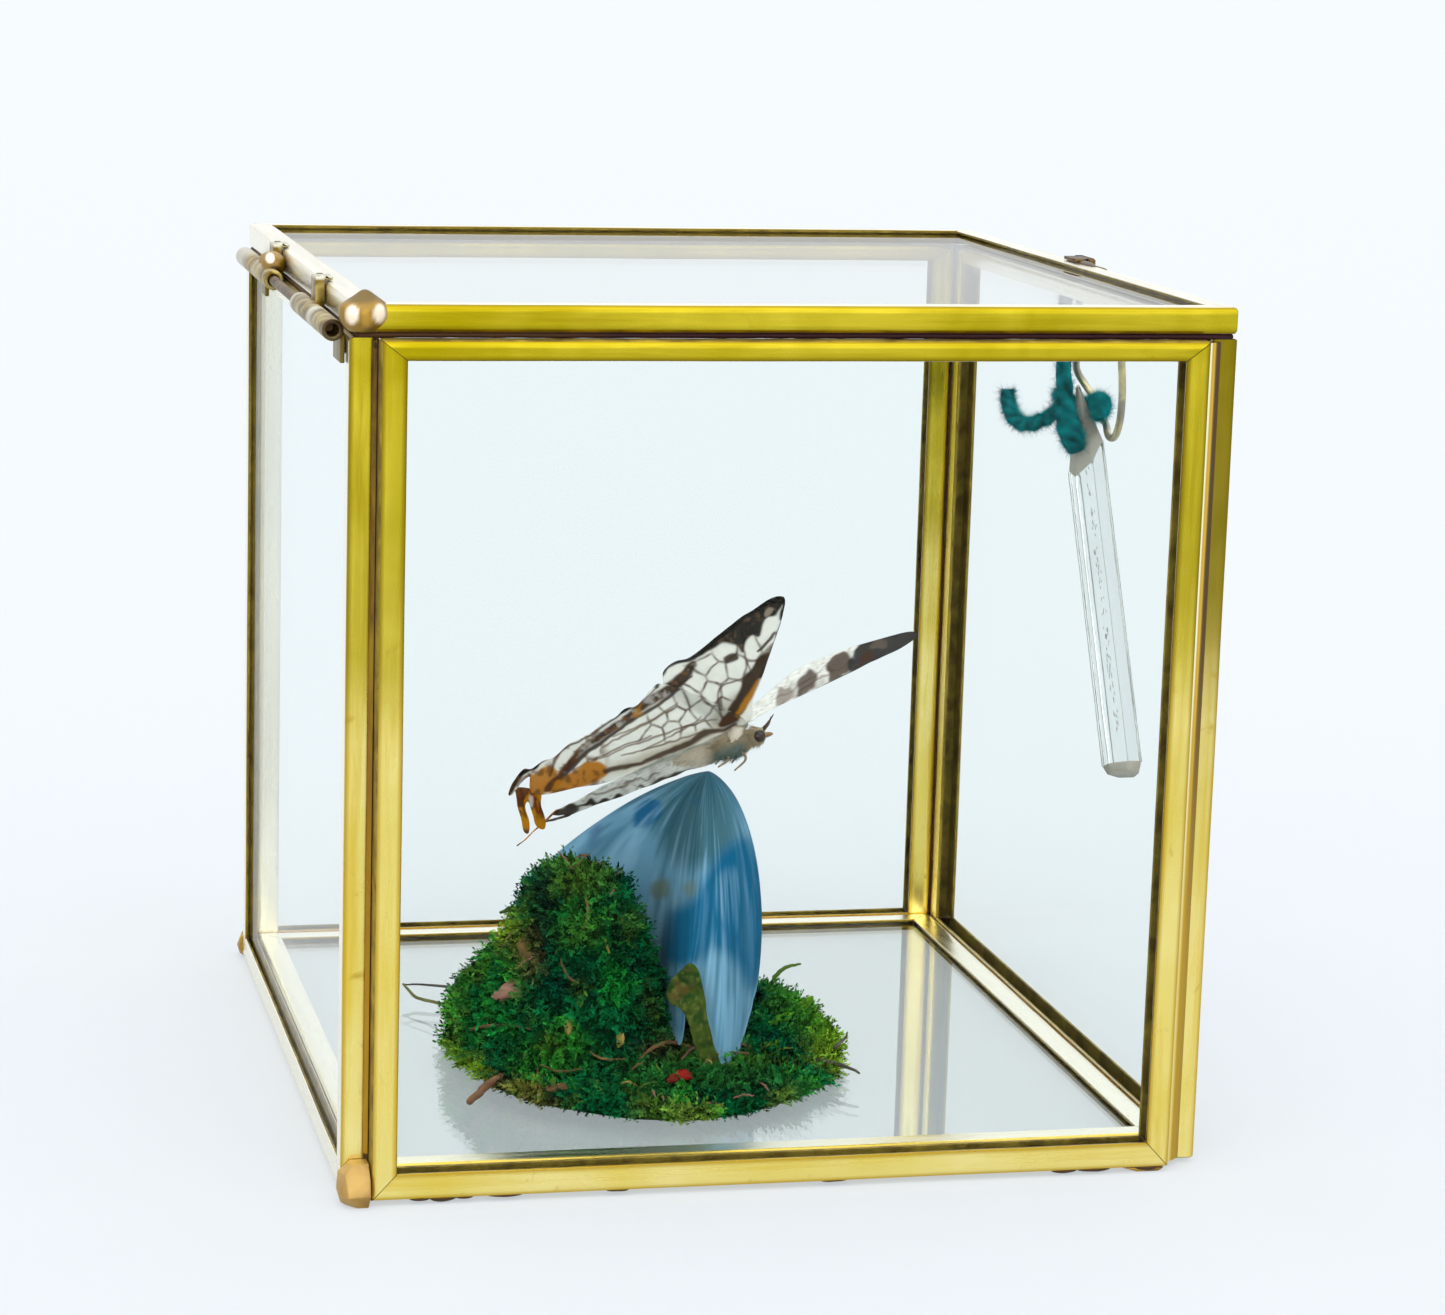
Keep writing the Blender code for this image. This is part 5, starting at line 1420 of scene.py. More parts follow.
def bloom_points(columns, rows):
    """The petals' skin as a grid: around by 'columns' to each rib, and down by rows."""
    ribs = np.array([[BLOOM_TOP] + [np.array(p) for p in rib] for rib in BLOOM_RIBS])
    around = []
    for i in range(len(ribs)):
        a, b, c, d = (ribs[(i + j) % len(ribs)] for j in (-1, 0, 1, 2))
        for k in range(columns):
            t = k / columns
            around.append(0.5 * (2 * b + (c - a) * t + (2 * a - 5 * b + 4 * c - d) * t * t
                                 + (3 * b - a - 3 * c + d) * t ** 3))
    around = np.array(around)
    s = (np.arange(1, rows + 1) / rows)[None, :, None]
    p0, p1, p2, p3 = (around[:, k][:, None] for k in range(4))
    return p0 * (1 - s) ** 3 + 3 * p1 * s * (1 - s) ** 2 + 3 * p2 * s * s * (1 - s) + p3 * s ** 3


DEEP_BLUE = ((726, 848), (748, 838), (764, 880), (764, 960), (750, 990), (738, 966), (716, 950),
             (700, 962), (676, 966), (660, 950), (664, 915), (690, 900), (704, 876))


STEEL, SLATE = (0.15, 0.35, 0.50), (0.055, 0.155, 0.195)
DEEP, PALE = (0.002, 0.130, 0.27), (0.34, 0.60, 0.78)
FURROW_BLUE = (0.015, 0.085, 0.14)
PETAL_RIM_HIGHLIGHT = (0.26, 0.52, 0.68)
SLATE_AREA = (
    (((655, 800), (700, 770), (730, 790), (738, 840), (722, 862), (690, 868), (662, 850)), None, 14,
     SLATE, 0.9),
    (DEEP_BLUE, None, 9, DEEP, 0.95),
)
BLUE_SPOTS = (
    (((638, 806), (648, 799), (662, 804), (660, 817), (650, 826), (636, 829), (634, 818)), None, 2.5,
     (0.006, 0.12, 0.28), 0.9),
    (((590, 826), (600, 822), (600, 840), (590, 850)), None, 4, (0.05, 0.10, 0.24), 0.5),
)
# outline, softness, how much of the grain shows in it, colour and strength
GLEAMS = (
    (((720, 878), (736, 872), (742, 900), (734, 928), (722, 916)), 8, (-0.35, 0.5), PALE, 0.85),
    (((704, 975), (722, 930), (734, 960), (730, 1010), (712, 1020)), 10, (-0.4, 0.6), PALE, 0.8),
    (((706, 1000), (716, 985), (734, 975), (744, 1000), (736, 1040), (720, 1058), (712, 1030)), 10,
     (-0.6, 0.5), (0.26, 0.50, 0.70), 0.7),
)
PALE_RIB = ((650, 905), (668, 898), (664, 960), (655, 985))
OLIVE_SPOTS = (
    (((652, 884), (668, 880), (668, 896), (654, 898)), None, 3, (0.16, 0.19, 0.085), 0.65),
    (((684, 884), (696, 882), (694, 894), (684, 894)), None, 3, (0.17, 0.21, 0.10), 0.5),
)


def bloom_paint(points, turn, down):
    """Blue petals with a grain that runs down from the top, darker patches, pale gleams and a painted
    highlight along the rim.
    """
    p = seen(points)
    thin = cloud(np.stack([turn * 260, down * 9], axis=1), 3.0, seed=51)
    wide = cloud(np.stack([turn * 90, down * 6], axis=1), 3.2, seed=52)
    tone = paint(plain(p, STEEL), p, SLATE_AREA)
    tone = lay(tone, soft_step(cloud(p, 34, seed=53) + 0.5 * thin, 0.05, 0.6), DEEP, 0.3)
    tone = paint(tone, p, BLUE_SPOTS)
    in_deep = patch_cover(p, DEEP_BLUE, 9)
    lower = 0.35 + 0.65 * soft_step(down, 0.1, 0.7)
    tone = lay(tone, soft_step(thin, 0.08, 0.5) * lower * (1 - 0.75 * in_deep), PALE, 0.5)
    tone = lay(tone, soft_step(-thin, 0.15, 0.55), FURROW_BLUE, 0.45)
    tone = lay(tone, soft_step(wide, 0.25, 0.6) * (1 - 0.8 * in_deep), PALE, 0.35)
    for outline, soft, grain, colour, strength in GLEAMS:
        tone = lay(tone, patch_cover(p, outline, soft) * soft_step(thin, *grain), colour, strength)
    tone = lay(tone, patch_cover(p, PALE_RIB, 4) * (0.6 + 0.8 * thin), PALE, 0.6)
    tone = paint(tone, p, OLIVE_SPOTS)
    # painted highlight along the petals' rim
    tone = lay(tone, soft_step(down, 0.955, 0.99), PETAL_RIM_HIGHLIGHT, 0.65)
    return np.clip(tone, 0, 1)


BLOOM_COLUMNS, BLOOM_ROWS = 21, 70
BLOOM_MIDDLE = (50.0, 46.5, 20.0)
PETAL_THICK = 0.22


def bloom():
    """The bell of fused petals as one pleated skin."""
    rows = BLOOM_ROWS
    grid = bloom_points(BLOOM_COLUMNS, rows)
    around = len(grid)
    turn = np.repeat(np.arange(around) / around, rows)
    down = np.tile(np.arange(1, rows + 1) / rows, around)
    flat = grid.reshape(-1, 3)
    outward = unit(flat - np.array(BLOOM_MIDDLE))
    pleat = 0.16 * cloud(np.stack([turn * 320, down * 5], axis=1), 3.0, seed=61) * np.minimum(down * 3, 1)
    flat = flat + outward * pleat[:, None]
    half = PETAL_THICK / 2
    rise = np.array((0, 0, half))
    points = np.vstack([flat + outward * half, flat - outward * half, BLOOM_TOP + rise, BLOOM_TOP - rise])
    count = len(flat)
    i = np.repeat(np.arange(around), rows - 1)
    r = np.tile(np.arange(rows - 1), around)
    j = (i + 1) % around
    quads = np.stack([i * rows + r, j * rows + r, j * rows + r + 1, i * rows + r + 1], axis=1)
    faces = [tuple(q) for q in quads[:, ::-1].tolist()] + [tuple(q) for q in (quads + count).tolist()]
    for k in range(around):
        after = (k + 1) % around
        faces.append((2 * count, k * rows, after * rows))
        faces.append((2 * count + 1, count + after * rows, count + k * rows))
        low, high = k * rows + rows - 1, after * rows + rows - 1
        faces.append((low, high, high + count, low + count))
    tone = bloom_paint(flat, turn, down)
    tones = np.vstack([tone, tone * 0.85, tone[:1], tone[:1]])
    data = mesh_of("bloom_petals", points, faces, tones)
    mat = tinted("petal", roughness=0.7, Specular_IOR_Level=0.04)
    lit_through(mat, 0.3)
    place_mesh(data, (mat.made,), "case", ("blue_bloom",))


# ---------------------------------------------------------------- moss
MOSS_MIDDLE = (43.0, 44.0)
MOSS_RADII = (23.6, 27.5)
MOSS_BASE = 2.825              # Z of its underside
KNOLLS = ((33.8, 40.0, 9.4, 20.2, 4), (26.5, 47.0, 7.5, 10.0, 3),
          (58.0, 50.0, 8.0, 3.2, 2.4))      # X, Y, radius, height and how square its side is


def moss_rim(turn):
    """How far the mound reaches from its middle in the direction 'turn'."""
    rx, ry = MOSS_RADII
    round_one = rx * ry / np.hypot(ry * np.cos(turn), rx * np.sin(turn))
    return round_one * (1 + 0.018 * np.sin(3 * turn + 0.6) + 0.012 * np.sin(7 * turn))


def moss_height(x, y):
    """The height of the moss over its underside: a low pad, a tall hump and two shoulders."""
    dx, dy = x - MOSS_MIDDLE[0], y - MOSS_MIDDLE[1]
    out = np.hypot(dx, dy) / moss_rim(np.arctan2(dy, dx))
    pad = 1.0 + 2.9 * np.maximum(0, 1 - out ** 2.4)

    def mound(mx, my, radius, tall, power):
        return tall * np.exp(-(np.hypot(x - mx, y - my) / radius) ** power)

    hump, left, right = (mound(*knoll) for knoll in KNOLLS)
    where = np.stack([x, y], axis=-1).reshape(-1, 2)
    lumps = 0.6 * value_noise(where, 5.5, seed=71) + 0.45 * value_noise(where, 2.3, seed=72)
    lumps = lumps.reshape(x.shape)
    furrow = np.maximum(0, 1 - np.abs(value_noise(where, 3.1, seed=73)) / 0.16).reshape(x.shape)
    return (pad + np.maximum(hump, left) + 0.35 * np.minimum(hump, left) + right
            + lumps * np.minimum(1, 0.35 + out) - 0.85 * furrow * np.clip(2 - 2 * out, 0, 1))


def moss_surface(x, y):
    """Points on the moss and the directions that stand off it."""
    step = 0.15
    z = moss_height(x, y)
    slope_x = (moss_height(x + step, y) - moss_height(x - step, y)) / (2 * step)
    slope_y = (moss_height(x, y + step) - moss_height(x, y - step)) / (2 * step)
    normal = unit(np.stack([-slope_x, -slope_y, np.ones_like(x)], axis=-1))
    return np.stack([x, y, MOSS_BASE + z], axis=-1), normal


MOSS_OLIVE = (0.055, 0.135, 0.014)
MOSS_TEAL = (0.0004, 0.024, 0.019)
MOSS_DEEP = (0.0006, 0.052, 0.018)
MOSS_VIVID = (0.010, 0.21, 0.022)
MOSS_LIME = (0.15, 0.27, 0.014)
MOSS_BROWN = (0.105, 0.075, 0.022)
MOSS_PATCHES = (
    (((545, 862), (580, 854), (608, 868), (612, 892), (585, 900), (550, 896)), None, 6, MOSS_OLIVE,
     0.6),
    (((540, 880), (556, 882), (556, 920), (552, 962), (540, 958), (538, 915)), None, 5, MOSS_TEAL,
     0.85),
    (((604, 905), (622, 935), (640, 985), (660, 1040), (640, 1050), (622, 1000), (606, 950)), None, 8,
     MOSS_DEEP, 0.8),
    (((602, 958), (622, 965), (628, 998), (612, 1004), (600, 985)), None, 6, MOSS_VIVID, 0.75),
    (((558, 905), (596, 900), (600, 940), (566, 950)), None, 8, MOSS_VIVID, 0.35),
    (((508, 932), (540, 928), (544, 970), (516, 972)), None, 6, MOSS_BROWN, 0.65),
    (((478, 915), (520, 912), (524, 938), (486, 944)), None, 6, MOSS_LIME, 0.8),
    (((455, 1000), (500, 1000), (520, 1030), (470, 1042)), None, 9, MOSS_VIVID, 0.35),
    (((460, 1050), (484, 1058), (496, 1084), (474, 1088)), None, 6, MOSS_LIME, 0.9),
    (((806, 1024), (834, 1024), (838, 1062), (812, 1068)), None, 7, MOSS_LIME, 0.9),
    (((760, 985), (800, 985), (836, 1012), (820, 1040), (775, 1030)), None, 8, (0.05, 0.19, 0.014),
     0.6),
    (((490, 1082), (545, 1086), (560, 1104), (500, 1100)), None, 5, MOSS_BROWN, 0.7),
    (((640, 1038), (694, 1036), (700, 1056), (640, 1062)), None, 6, MOSS_BROWN, 0.55),
    (((620, 1060), (760, 1056), (770, 1084), (640, 1092)), None, 9, (0.03, 0.125, 0.012), 0.5),
)
MOSS_GREENS = ((0.0003, 0.036, 0.025), (0.0025, 0.100, 0.029), (0.030, 0.23, 0.018),
               (0.070, 0.140, 0.014), (0.27, 0.33, 0.024))


def moss_tone(points, rng):
    """Greens that vary over the mound, from deep to yellow, for each point."""
    count = len(points)
    deep, mid, bright, olive, straw = MOSS_GREENS
    big = cloud(points, 7.0, seed=81)
    small = cloud(points, 1.9, seed=82)
    tone = lay(plain(points, mid), soft_step(-big + 0.5 * small, 0.0, 0.5), deep, 0.9)
    tone = lay(tone, soft_step(big + 0.5 * small, 0.12, 0.55), bright, 0.8)
    tone = lay(tone, soft_step(cloud(points, 4.0, seed=83), 0.12, 0.5), olive, 0.75)
    turn = np.arctan2(points[:, 1] - MOSS_MIDDLE[1], points[:, 0] - MOSS_MIDDLE[0])
    out = np.hypot(points[:, 0] - MOSS_MIDDLE[0], points[:, 1] - MOSS_MIDDLE[1]) / moss_rim(turn)
    fringe = soft_step(value_noise(np.stack([turn * 5, out], axis=1), 1.0, seed=84), -0.1, 0.4)
    tone = lay(tone, soft_step(out, 0.9, 1.0) * fringe, straw, 0.45)
    p = seen(points)
    blur = p + np.stack([value_noise(points, 1.2, seed=85), value_noise(points, 1.2, seed=86)], axis=1) * 7
    tone = paint(tone, blur, MOSS_PATCHES)
    return tone * rng.uniform(0.55, 1.6, (count, 1))


LEAVES = 9
LEAF_PAINTED_LIGHT = (0.0, 0.35, 0.9, 0.35)     # painted light: how pale each leaf's root, sides and tip are
SPRIGS_EACH = 9300
SPRIG_KINDS = 4
SHORTEST, LONGEST = 0.7, 3.3
ON_TOP = 0.92                  # share of the sprigs that stand on the mound; the others fringe its rim
SPRIGS = (("moss_sprigs_a", 1.6, 101), ("moss_sprigs_b", 1.35, 202), ("moss_sprigs_c", 1.85, 303))


def frond_template(rng):
    """One moss sprig, 1 long along Z: pointed leaves that overlap all round a middle line."""
    points, faces = [], []
    for k in range(LEAVES):
        t = 0.04 + 0.9 * k / (LEAVES - 1)
        turn = k * 2.2 + rng.uniform(-0.3, 0.3)
        reach = (0.34 - 0.17 * t) * rng.uniform(0.85, 1.2)
        out = np.array((math.cos(turn), math.sin(turn), 0.0))
        across = np.array((-math.sin(turn), math.cos(turn), 0.0)) * (0.095 - 0.035 * t)
        root = np.array((0, 0, t * 0.9))
        tip = root + out * reach * (0.85 - 0.4 * t) + np.array((0, 0, reach * (0.6 + 0.4 * t)))
        middle = root + (tip - root) * 0.45
        base = len(points)
        points += [root, middle + across, tip, middle - across]
        faces += [(base, base + 1, base + 2), (base, base + 2, base + 3)]
    return np.array(points), faces


def sprig_places(count, rng):
    """Where sprigs stand: their roots, the way they lean, and how far out on the mound they are."""
    reach = np.sqrt(rng.uniform(0, 1, count * 4))
    turn = rng.uniform(0, math.tau, count * 4)
    x = MOSS_MIDDLE[0] + reach * moss_rim(turn) * np.cos(turn)
    y = MOSS_MIDDLE[1] + reach * moss_rim(turn) * np.sin(turn)
    points, normal = moss_surface(x, y)
    # steep sides need more sprigs than flat ground
    chance = np.clip(0.24 / np.maximum(normal[:, 2], 0.08), 0, 1)
    keep = np.flatnonzero(rng.uniform(0, 1, len(x)) < chance)[:int(count * ON_TOP)]
    around = rng.uniform(0, math.tau, count - len(keep))
    radial = np.stack([np.cos(around), np.sin(around), np.zeros(len(around))], axis=1)
    rim = np.array((*MOSS_MIDDLE, MOSS_BASE)) + radial * moss_rim(around)[:, None] * 0.99
    rim[:, 2] += rng.uniform(0.15, 1.3, len(rim))
    lean = unit(radial + np.stack([rng.normal(size=len(rim)) * 0.5, rng.normal(size=len(rim)) * 0.5,
                                   rng.uniform(-0.35, 0.75, len(rim))], axis=1))
    flat_out = np.stack([points[keep, 0] - MOSS_MIDDLE[0], points[keep, 1] - MOSS_MIDDLE[1],
                         np.full(len(keep), -9.0)], axis=1) / 22
    surface_lean = unit(normal[keep] * 0.42 + rng.normal(size=(len(keep), 3)) * 0.6 + flat_out * 0.5)
    return (np.vstack([points[keep], rim]), np.vstack([surface_lean, lean]),
            np.vstack([normal[keep], radial]))


def sprigs(name, size, seed):
    """A mesh of moss sprigs scattered over the mound, with painted shade: the deeper ones are darker."""
    rng = np.random.default_rng(seed)
    points, axis, normal = sprig_places(SPRIGS_EACH, rng)
    points, axis, normal = keep_off_bloom(points, axis, normal)
    count = len(points)
    tones = moss_tone(points, rng)
    clump = value_noise(points, 1.5, seed=87)
    depth = rng.uniform(0, 1, count)
    points = points + normal * (0.7 * depth - 0.85 + 0.3 * clump)[:, None]
    # painted shade: sprigs sunk deeper or lying lower between clumps are darker
    tones = tones * (0.2 + 1.15 * depth ** 1.3 + 0.35 * clump)[:, None].clip(0.06, 2)
    length = size * rng.uniform(0.6, 1.4, count) * (1 + 0.3 * value_noise(points, 3.0, seed=seed))
    length = np.clip(length, SHORTEST, LONGEST)
    first = unit(np.cross(axis, rng.normal(size=(count, 3))))
    second = np.cross(axis, first)
    everything, all_faces, all_tones = [], [], []
    base = 0
    for kind in range(SPRIG_KINDS):
        template, faces = frond_template(rng)
        mine = np.arange(kind, count, SPRIG_KINDS)
        t = template[:, 2]
        bend = rng.uniform(-0.4, 0.4, (len(mine), 1)) * t[None] ** 2
        local_x = template[None, :, 0] + bend
        world_points = (points[mine][:, None]
                        + (first[mine][:, None] * local_x[..., None]
                           + second[mine][:, None] * template[None, :, 1, None]
                           + axis[mine][:, None] * template[None, :, 2, None])
                        * length[mine][:, None, None])
        # painted light: lighter toward the tips of the sprig and of each leaf, darker at the roots
        light = 0.55 + 0.45 * t[None, :, None] + 0.55 * np.tile(LEAF_PAINTED_LIGHT, LEAVES)[None, :, None]
        shade = tones[mine][:, None] * light
        world_points[..., 2] = np.maximum(world_points[..., 2], MOSS_BASE - 0.1)
        everything.append(world_points.reshape(-1, 3))
        all_tones.append(shade.reshape(-1, 3))
        offsets = base + np.arange(len(mine))[:, None, None] * len(template)
        all_faces.append((np.array(faces)[None] + offsets).reshape(-1, 3))
        base += len(mine) * len(template)
    return mesh_of(name, np.vstack(everything), np.vstack(all_faces), np.vstack(all_tones), smooth=False)


PETAL_HEIGHT = 26.0            # petals below this height have moss around them
PETAL_CLEAR = 0.9
BATCH = 4000                   # points that are measured at a time


def keep_off_bloom(points, *others):
    """Leaves out what would grow through a petal."""
    grid = bloom_points(4, 30).reshape(-1, 3)
    low = grid[grid[:, 2] < PETAL_HEIGHT]
    near = np.full(len(points), False)
    for start in range(0, len(points), BATCH):
        gap = np.linalg.norm(points[start:start + BATCH, None] - low[None], axis=2).min(axis=1)
        near[start:start + BATCH] = gap < PETAL_CLEAR
    return tuple(some[~near] for some in (points, *others))


def on_moss(u, v):
    """The place on the moss that shows at this place of the drawing."""
    near, far = drawn(((u, v),), 8.0)[0], drawn(((u, v),), 80.0)[0]
    ray = near + (far - near) * np.linspace(0, 1, 2400)[:, None]
    away = ray[:, :2] - np.array(MOSS_MIDDLE)
    on_pad = np.hypot(*away.T) < moss_rim(np.arctan2(away[:, 1], away[:, 0]))
    under = ray[:, 2] < MOSS_BASE + moss_height(ray[:, 0], ray[:, 1]) + 0.25
    return ray[np.flatnonzero(on_pad & under)[0]]


MAT_SECTORS, MAT_RINGS = 200, 84
MAT_SHADE = 0.16
MAT_FLOOR = (0.0003, 0.004, 0.003)


def moss_base():
    """The matted body of the moss, under its sprigs."""
    sectors, rings = MAT_SECTORS, MAT_RINGS
    turn = np.arange(sectors) * math.tau / sectors
    share = np.concatenate([np.linspace(1.0, 0.985, 4), np.linspace(0.97, 0.01, rings)])
    high_share = np.concatenate([np.linspace(0, 1, 4), np.ones(rings)])
    x = MOSS_MIDDLE[0] + share[:, None] * moss_rim(turn)[None] * np.cos(turn)[None]
    y = MOSS_MIDDLE[1] + share[:, None] * moss_rim(turn)[None] * np.sin(turn)[None]
    z = MOSS_BASE + moss_height(x, y) * high_share[:, None] - 0.25 * high_share[:, None]
    points = np.stack([x, y, z], axis=-1).reshape(-1, 3)
    shifts = [value_noise(points, 0.9, seed=seed) for seed in (91, 92)]
    points[:, :2] += np.stack(shifts, axis=1) * 0.15
    count = len(share)
    k = np.repeat(np.arange(count - 1), sectors)
    i = np.tile(np.arange(sectors), count - 1)
    j = (i + 1) % sectors
    here, next_ring = k * sectors, (k + 1) * sectors
    quads = np.stack([here + i, here + j, next_ring + j, next_ring + i], axis=1)
    faces = [tuple(q) for q in quads.tolist()]
    faces.append(tuple(range(sectors))[::-1])
    faces.append(tuple(range((count - 1) * sectors, count * sectors)))
    rng = np.random.default_rng(5)
    tones = moss_tone(points, rng) * MAT_SHADE + np.array(MAT_FLOOR)
    return mesh_of("moss_mat", points, faces, tones)


FACING_US = ((0.975, -0.21, 0.0), (0.12, 0.55, 0.83), (-0.18, -0.81, 0.56))     # right, up and toward us
CHIP_POINTS = 18
CHIP_THICK = 0.22


def chip(place, long, wide, lean, colour, rng):
    """A flat scrap that lies on the moss where the drawing has it."""
    right, up, toward = (unit(np.array(axis)) for axis in FACING_US)
    along = right * math.cos(lean) + up * math.sin(lean)
    across = up * math.cos(lean) - right * math.sin(lean)
    middle = on_moss(*place) + toward * 0.45
    spots = CHIP_POINTS
    turn = math.tau * np.arange(spots) / spots
    reach = 1 + rng.uniform(-0.2, 0.2, spots)
    outline = (along * (np.cos(turn) * reach * long / 2)[:, None]
               + across * (np.sin(turn) * reach * wide / 2)[:, None])
    lift = toward * CHIP_THICK
    points = np.vstack([middle + outline, middle + outline * 0.94 - lift * 2,
                        middle + lift, middle - lift * 3])
    points = points + np.stack([value_noise(points, 0.8, seed=61 + k) for k in range(3)], axis=1) * 0.12
    faces = []
    for k in range(spots):
        after = (k + 1) % spots
        faces += [(k, after, 2 * spots), (spots + after, spots + k, 2 * spots + 1),
                  (k, spots + k, spots + after, after)]
    tones = np.array(colour) * rng.uniform(0.6, 1.35, (len(points), 1))
    return points, faces, tones


def strand(places, radii, colour, rng):
    """A thin dry stem that lies on the moss through these places of the drawing."""
    lifted = [on_moss(*place) + np.array(FACING_US[2]) * 0.5 for place in places]
    return twig(lifted, radii, colour, rng)


def twig(line, radii, colour, rng, turns=8):
    """A slightly crooked stem through a few points of the box's frame."""
    path = catmull(line, steps=5)
    path = path + rng.normal(size=path.shape) * 0.05
    its = np.interp(np.linspace(0, 1, len(path)), np.linspace(0, 1, len(radii)), radii)
    points, faces = tube(path, its, turns=turns)
    tones = np.array(colour) * (1 + 0.35 * value_noise(points, 0.7, seed=33))[:, None]
    return points, faces, np.clip(tones, 0.004, 1)


BARK = (0.21, 0.115, 0.082)
STRAW = (0.30, 0.25, 0.055)
LEAF_GREEN = (0.07, 0.13, 0.02)


SCRAPS = (
    ((516, 990), 5.0, 2.1, 0.28, BARK),
    ((503, 996), 2.4, 1.5, 0.1, (0.26, 0.15, 0.11)),
    ((568, 1027), 1.0, 2.0, 0.1, (0.27, 0.22, 0.055)),
    ((620, 1041), 0.95, 1.8, -0.1, (0.33, 0.27, 0.06)),
    ((681, 1076), 2.7, 1.5, 0.0, (0.21, 0.014, 0.010)),
    ((672, 1080), 1.4, 1.0, 0.4, (0.13, 0.02, 0.012)),
    ((526, 952), 2.0, 3.2, 0.3, (0.10, 0.066, 0.024)),
    ((700, 1046), 1.5, 0.9, 0.4, (0.13, 0.09, 0.03)),
    ((558, 1088), 2.6, 0.9, 0.1, (0.13, 0.08, 0.035)),
    ((780, 1020), 3.2, 1.3, 0.5, (0.06, 0.20, 0.014)),
    ((802, 1006), 3.4, 1.2, 0.7, (0.09, 0.22, 0.014)),
    ((770, 1046), 3.0, 1.2, 0.2, (0.05, 0.17, 0.012)),
)


TWIG_GREY = (0.075, 0.065, 0.052)
TWIGS = (                     # points in the box, radii and colour
    (((31.0, 54.0, 6.2), (24.0, 63.0, 5.9), (20.0, 68.0, 5.2), (17.0, 70.8, 4.6)),
     (0.3, 0.22, 0.16, 0.1), TWIG_GREY),
    (((17.0, 70.8, 4.6), (18.4, 68.0, 3.6), (21.0, 66.0, 3.3), (24.0, 64.0, 3.4)),
     (0.15, 0.22, 0.22, 0.14), (0.13, 0.13, 0.05)),
    (((25.0, 34.0, 4.2), (20.6, 28.0, 4.0), (17.6, 21.8, 4.2)), (0.45, 0.5, 0.42), (0.17, 0.09, 0.05)),
    (((60.0, 33.5, 4.4), (63.4, 29.2, 4.9), (65.6, 25.6, 4.6)), (0.35, 0.28, 0.14), TWIG_GREY),
    (((64.4, 33.6, 5.4), (66.2, 35.0, 6.2), (67.0, 37.0, 6.4)), (0.2, 0.16, 0.08), TWIG_GREY),
    (((26.0, 50.0, 5.0), (21.8, 53.0, 5.2), (19.4, 55.6, 6.3)), (0.32, 0.26, 0.14), TWIG_GREY),
    (((23.0, 51.0, 4.6), (20.0, 50.6, 3.9), (18.0, 52.0, 3.3)), (0.2, 0.16, 0.08), TWIG_GREY),
    (((23.0, 43.0, 4.0), (20.6, 40.6, 3.6), (18.9, 38.6, 3.2)), (0.26, 0.2, 0.1), TWIG_GREY),
    (((32.0, 40.5, 20.3), (28.6, 42.2, 20.9), (26.2, 43.0, 21.5), (24.6, 43.4, 21.0)),
     (0.5, 0.55, 0.42, 0.16), (0.035, 0.06, 0.016)),
    (((60.4, 50.8, 6.6), (61.6, 53.2, 8.6), (63.6, 55.2, 9.6), (66.0, 56.4, 9.7)),
     (0.3, 0.3, 0.26, 0.12), (0.075, 0.14, 0.02)),
    (((44.0, 27.5, 6.6), (46.6, 29.6, 7.7), (50.4, 31.0, 7.4), (53.6, 31.6, 6.6)),
     (0.12, 0.2, 0.24, 0.16), (0.12, 0.07, 0.045)),
    (((46.0, 26.0, 6.0), (49.0, 28.6, 6.8), (53.0, 30.0, 6.2)), (0.1, 0.16, 0.12), (0.14, 0.09, 0.05)),
)
STRANDS = (                   # places in the drawing, radii and colour
    (((640, 1060), (654, 1048), (674, 1043), (694, 1050)), (0.12, 0.24, 0.26, 0.12),
     (0.15, 0.085, 0.04)),
    (((588, 1052), (604, 1060), (626, 1060)), (0.1, 0.18, 0.1), (0.14, 0.1, 0.04)),
    (((540, 1066), (560, 1072), (584, 1070)), (0.1, 0.2, 0.1), (0.1, 0.07, 0.03)),
    (((470, 1030), (498, 1026), (530, 1030)), (0.14, 0.22, 0.1), (0.11, 0.075, 0.035)),
    (((585, 895), (588, 912), (584, 930)), (0.1, 0.22, 0.1), (0.12, 0.085, 0.03)),
    (((560, 960), (566, 975), (578, 985)), (0.1, 0.2, 0.1), (0.1, 0.07, 0.03)),
)
STEMS = 46
STEM_RADII = (0.09, 0.15, 0.07)
STEM_COLOURS = (BARK, STRAW, (0.16, 0.10, 0.045), LEAF_GREEN)


def moss_bits(rng):
    """Twigs, strands, scraps of bark and leaf, and short stems strewn over the moss."""
    parts = [twig(line, radii, colour, rng) for line, radii, colour in TWIGS]
    parts += [strand(places, radii, colour, rng) for places, radii, colour in STRANDS]
    parts += [chip(place, long, wide, lean, colour, rng) for place, long, wide, lean, colour in SCRAPS]
    for _ in range(STEMS):
        turn = rng.uniform(0, math.tau)
        reach = math.sqrt(rng.uniform(0.05, 0.93))
        x = MOSS_MIDDLE[0] + reach * float(moss_rim(np.array(turn))) * math.cos(turn)
        y = MOSS_MIDDLE[1] + reach * float(moss_rim(np.array(turn))) * math.sin(turn)
        here, normal = moss_surface(np.array([x]), np.array([y]))
        here, normal = keep_off_bloom(here, normal)
        if len(here) == 0:
            continue
        away = unit(np.cross(normal[0], rng.normal(size=3)) + normal[0] * 0.25)
        long = rng.uniform(1.2, 3.4)
        colour = STEM_COLOURS[int(rng.integers(len(STEM_COLOURS)))]
        start = here[0] + normal[0] * 0.55
        line = (start - away * long / 2, start + normal[0] * 0.25, start + away * long / 2)
        parts.append(twig(line, STEM_RADII, colour, rng, 6))
    return mesh_of("moss_bits", *merged(parts))


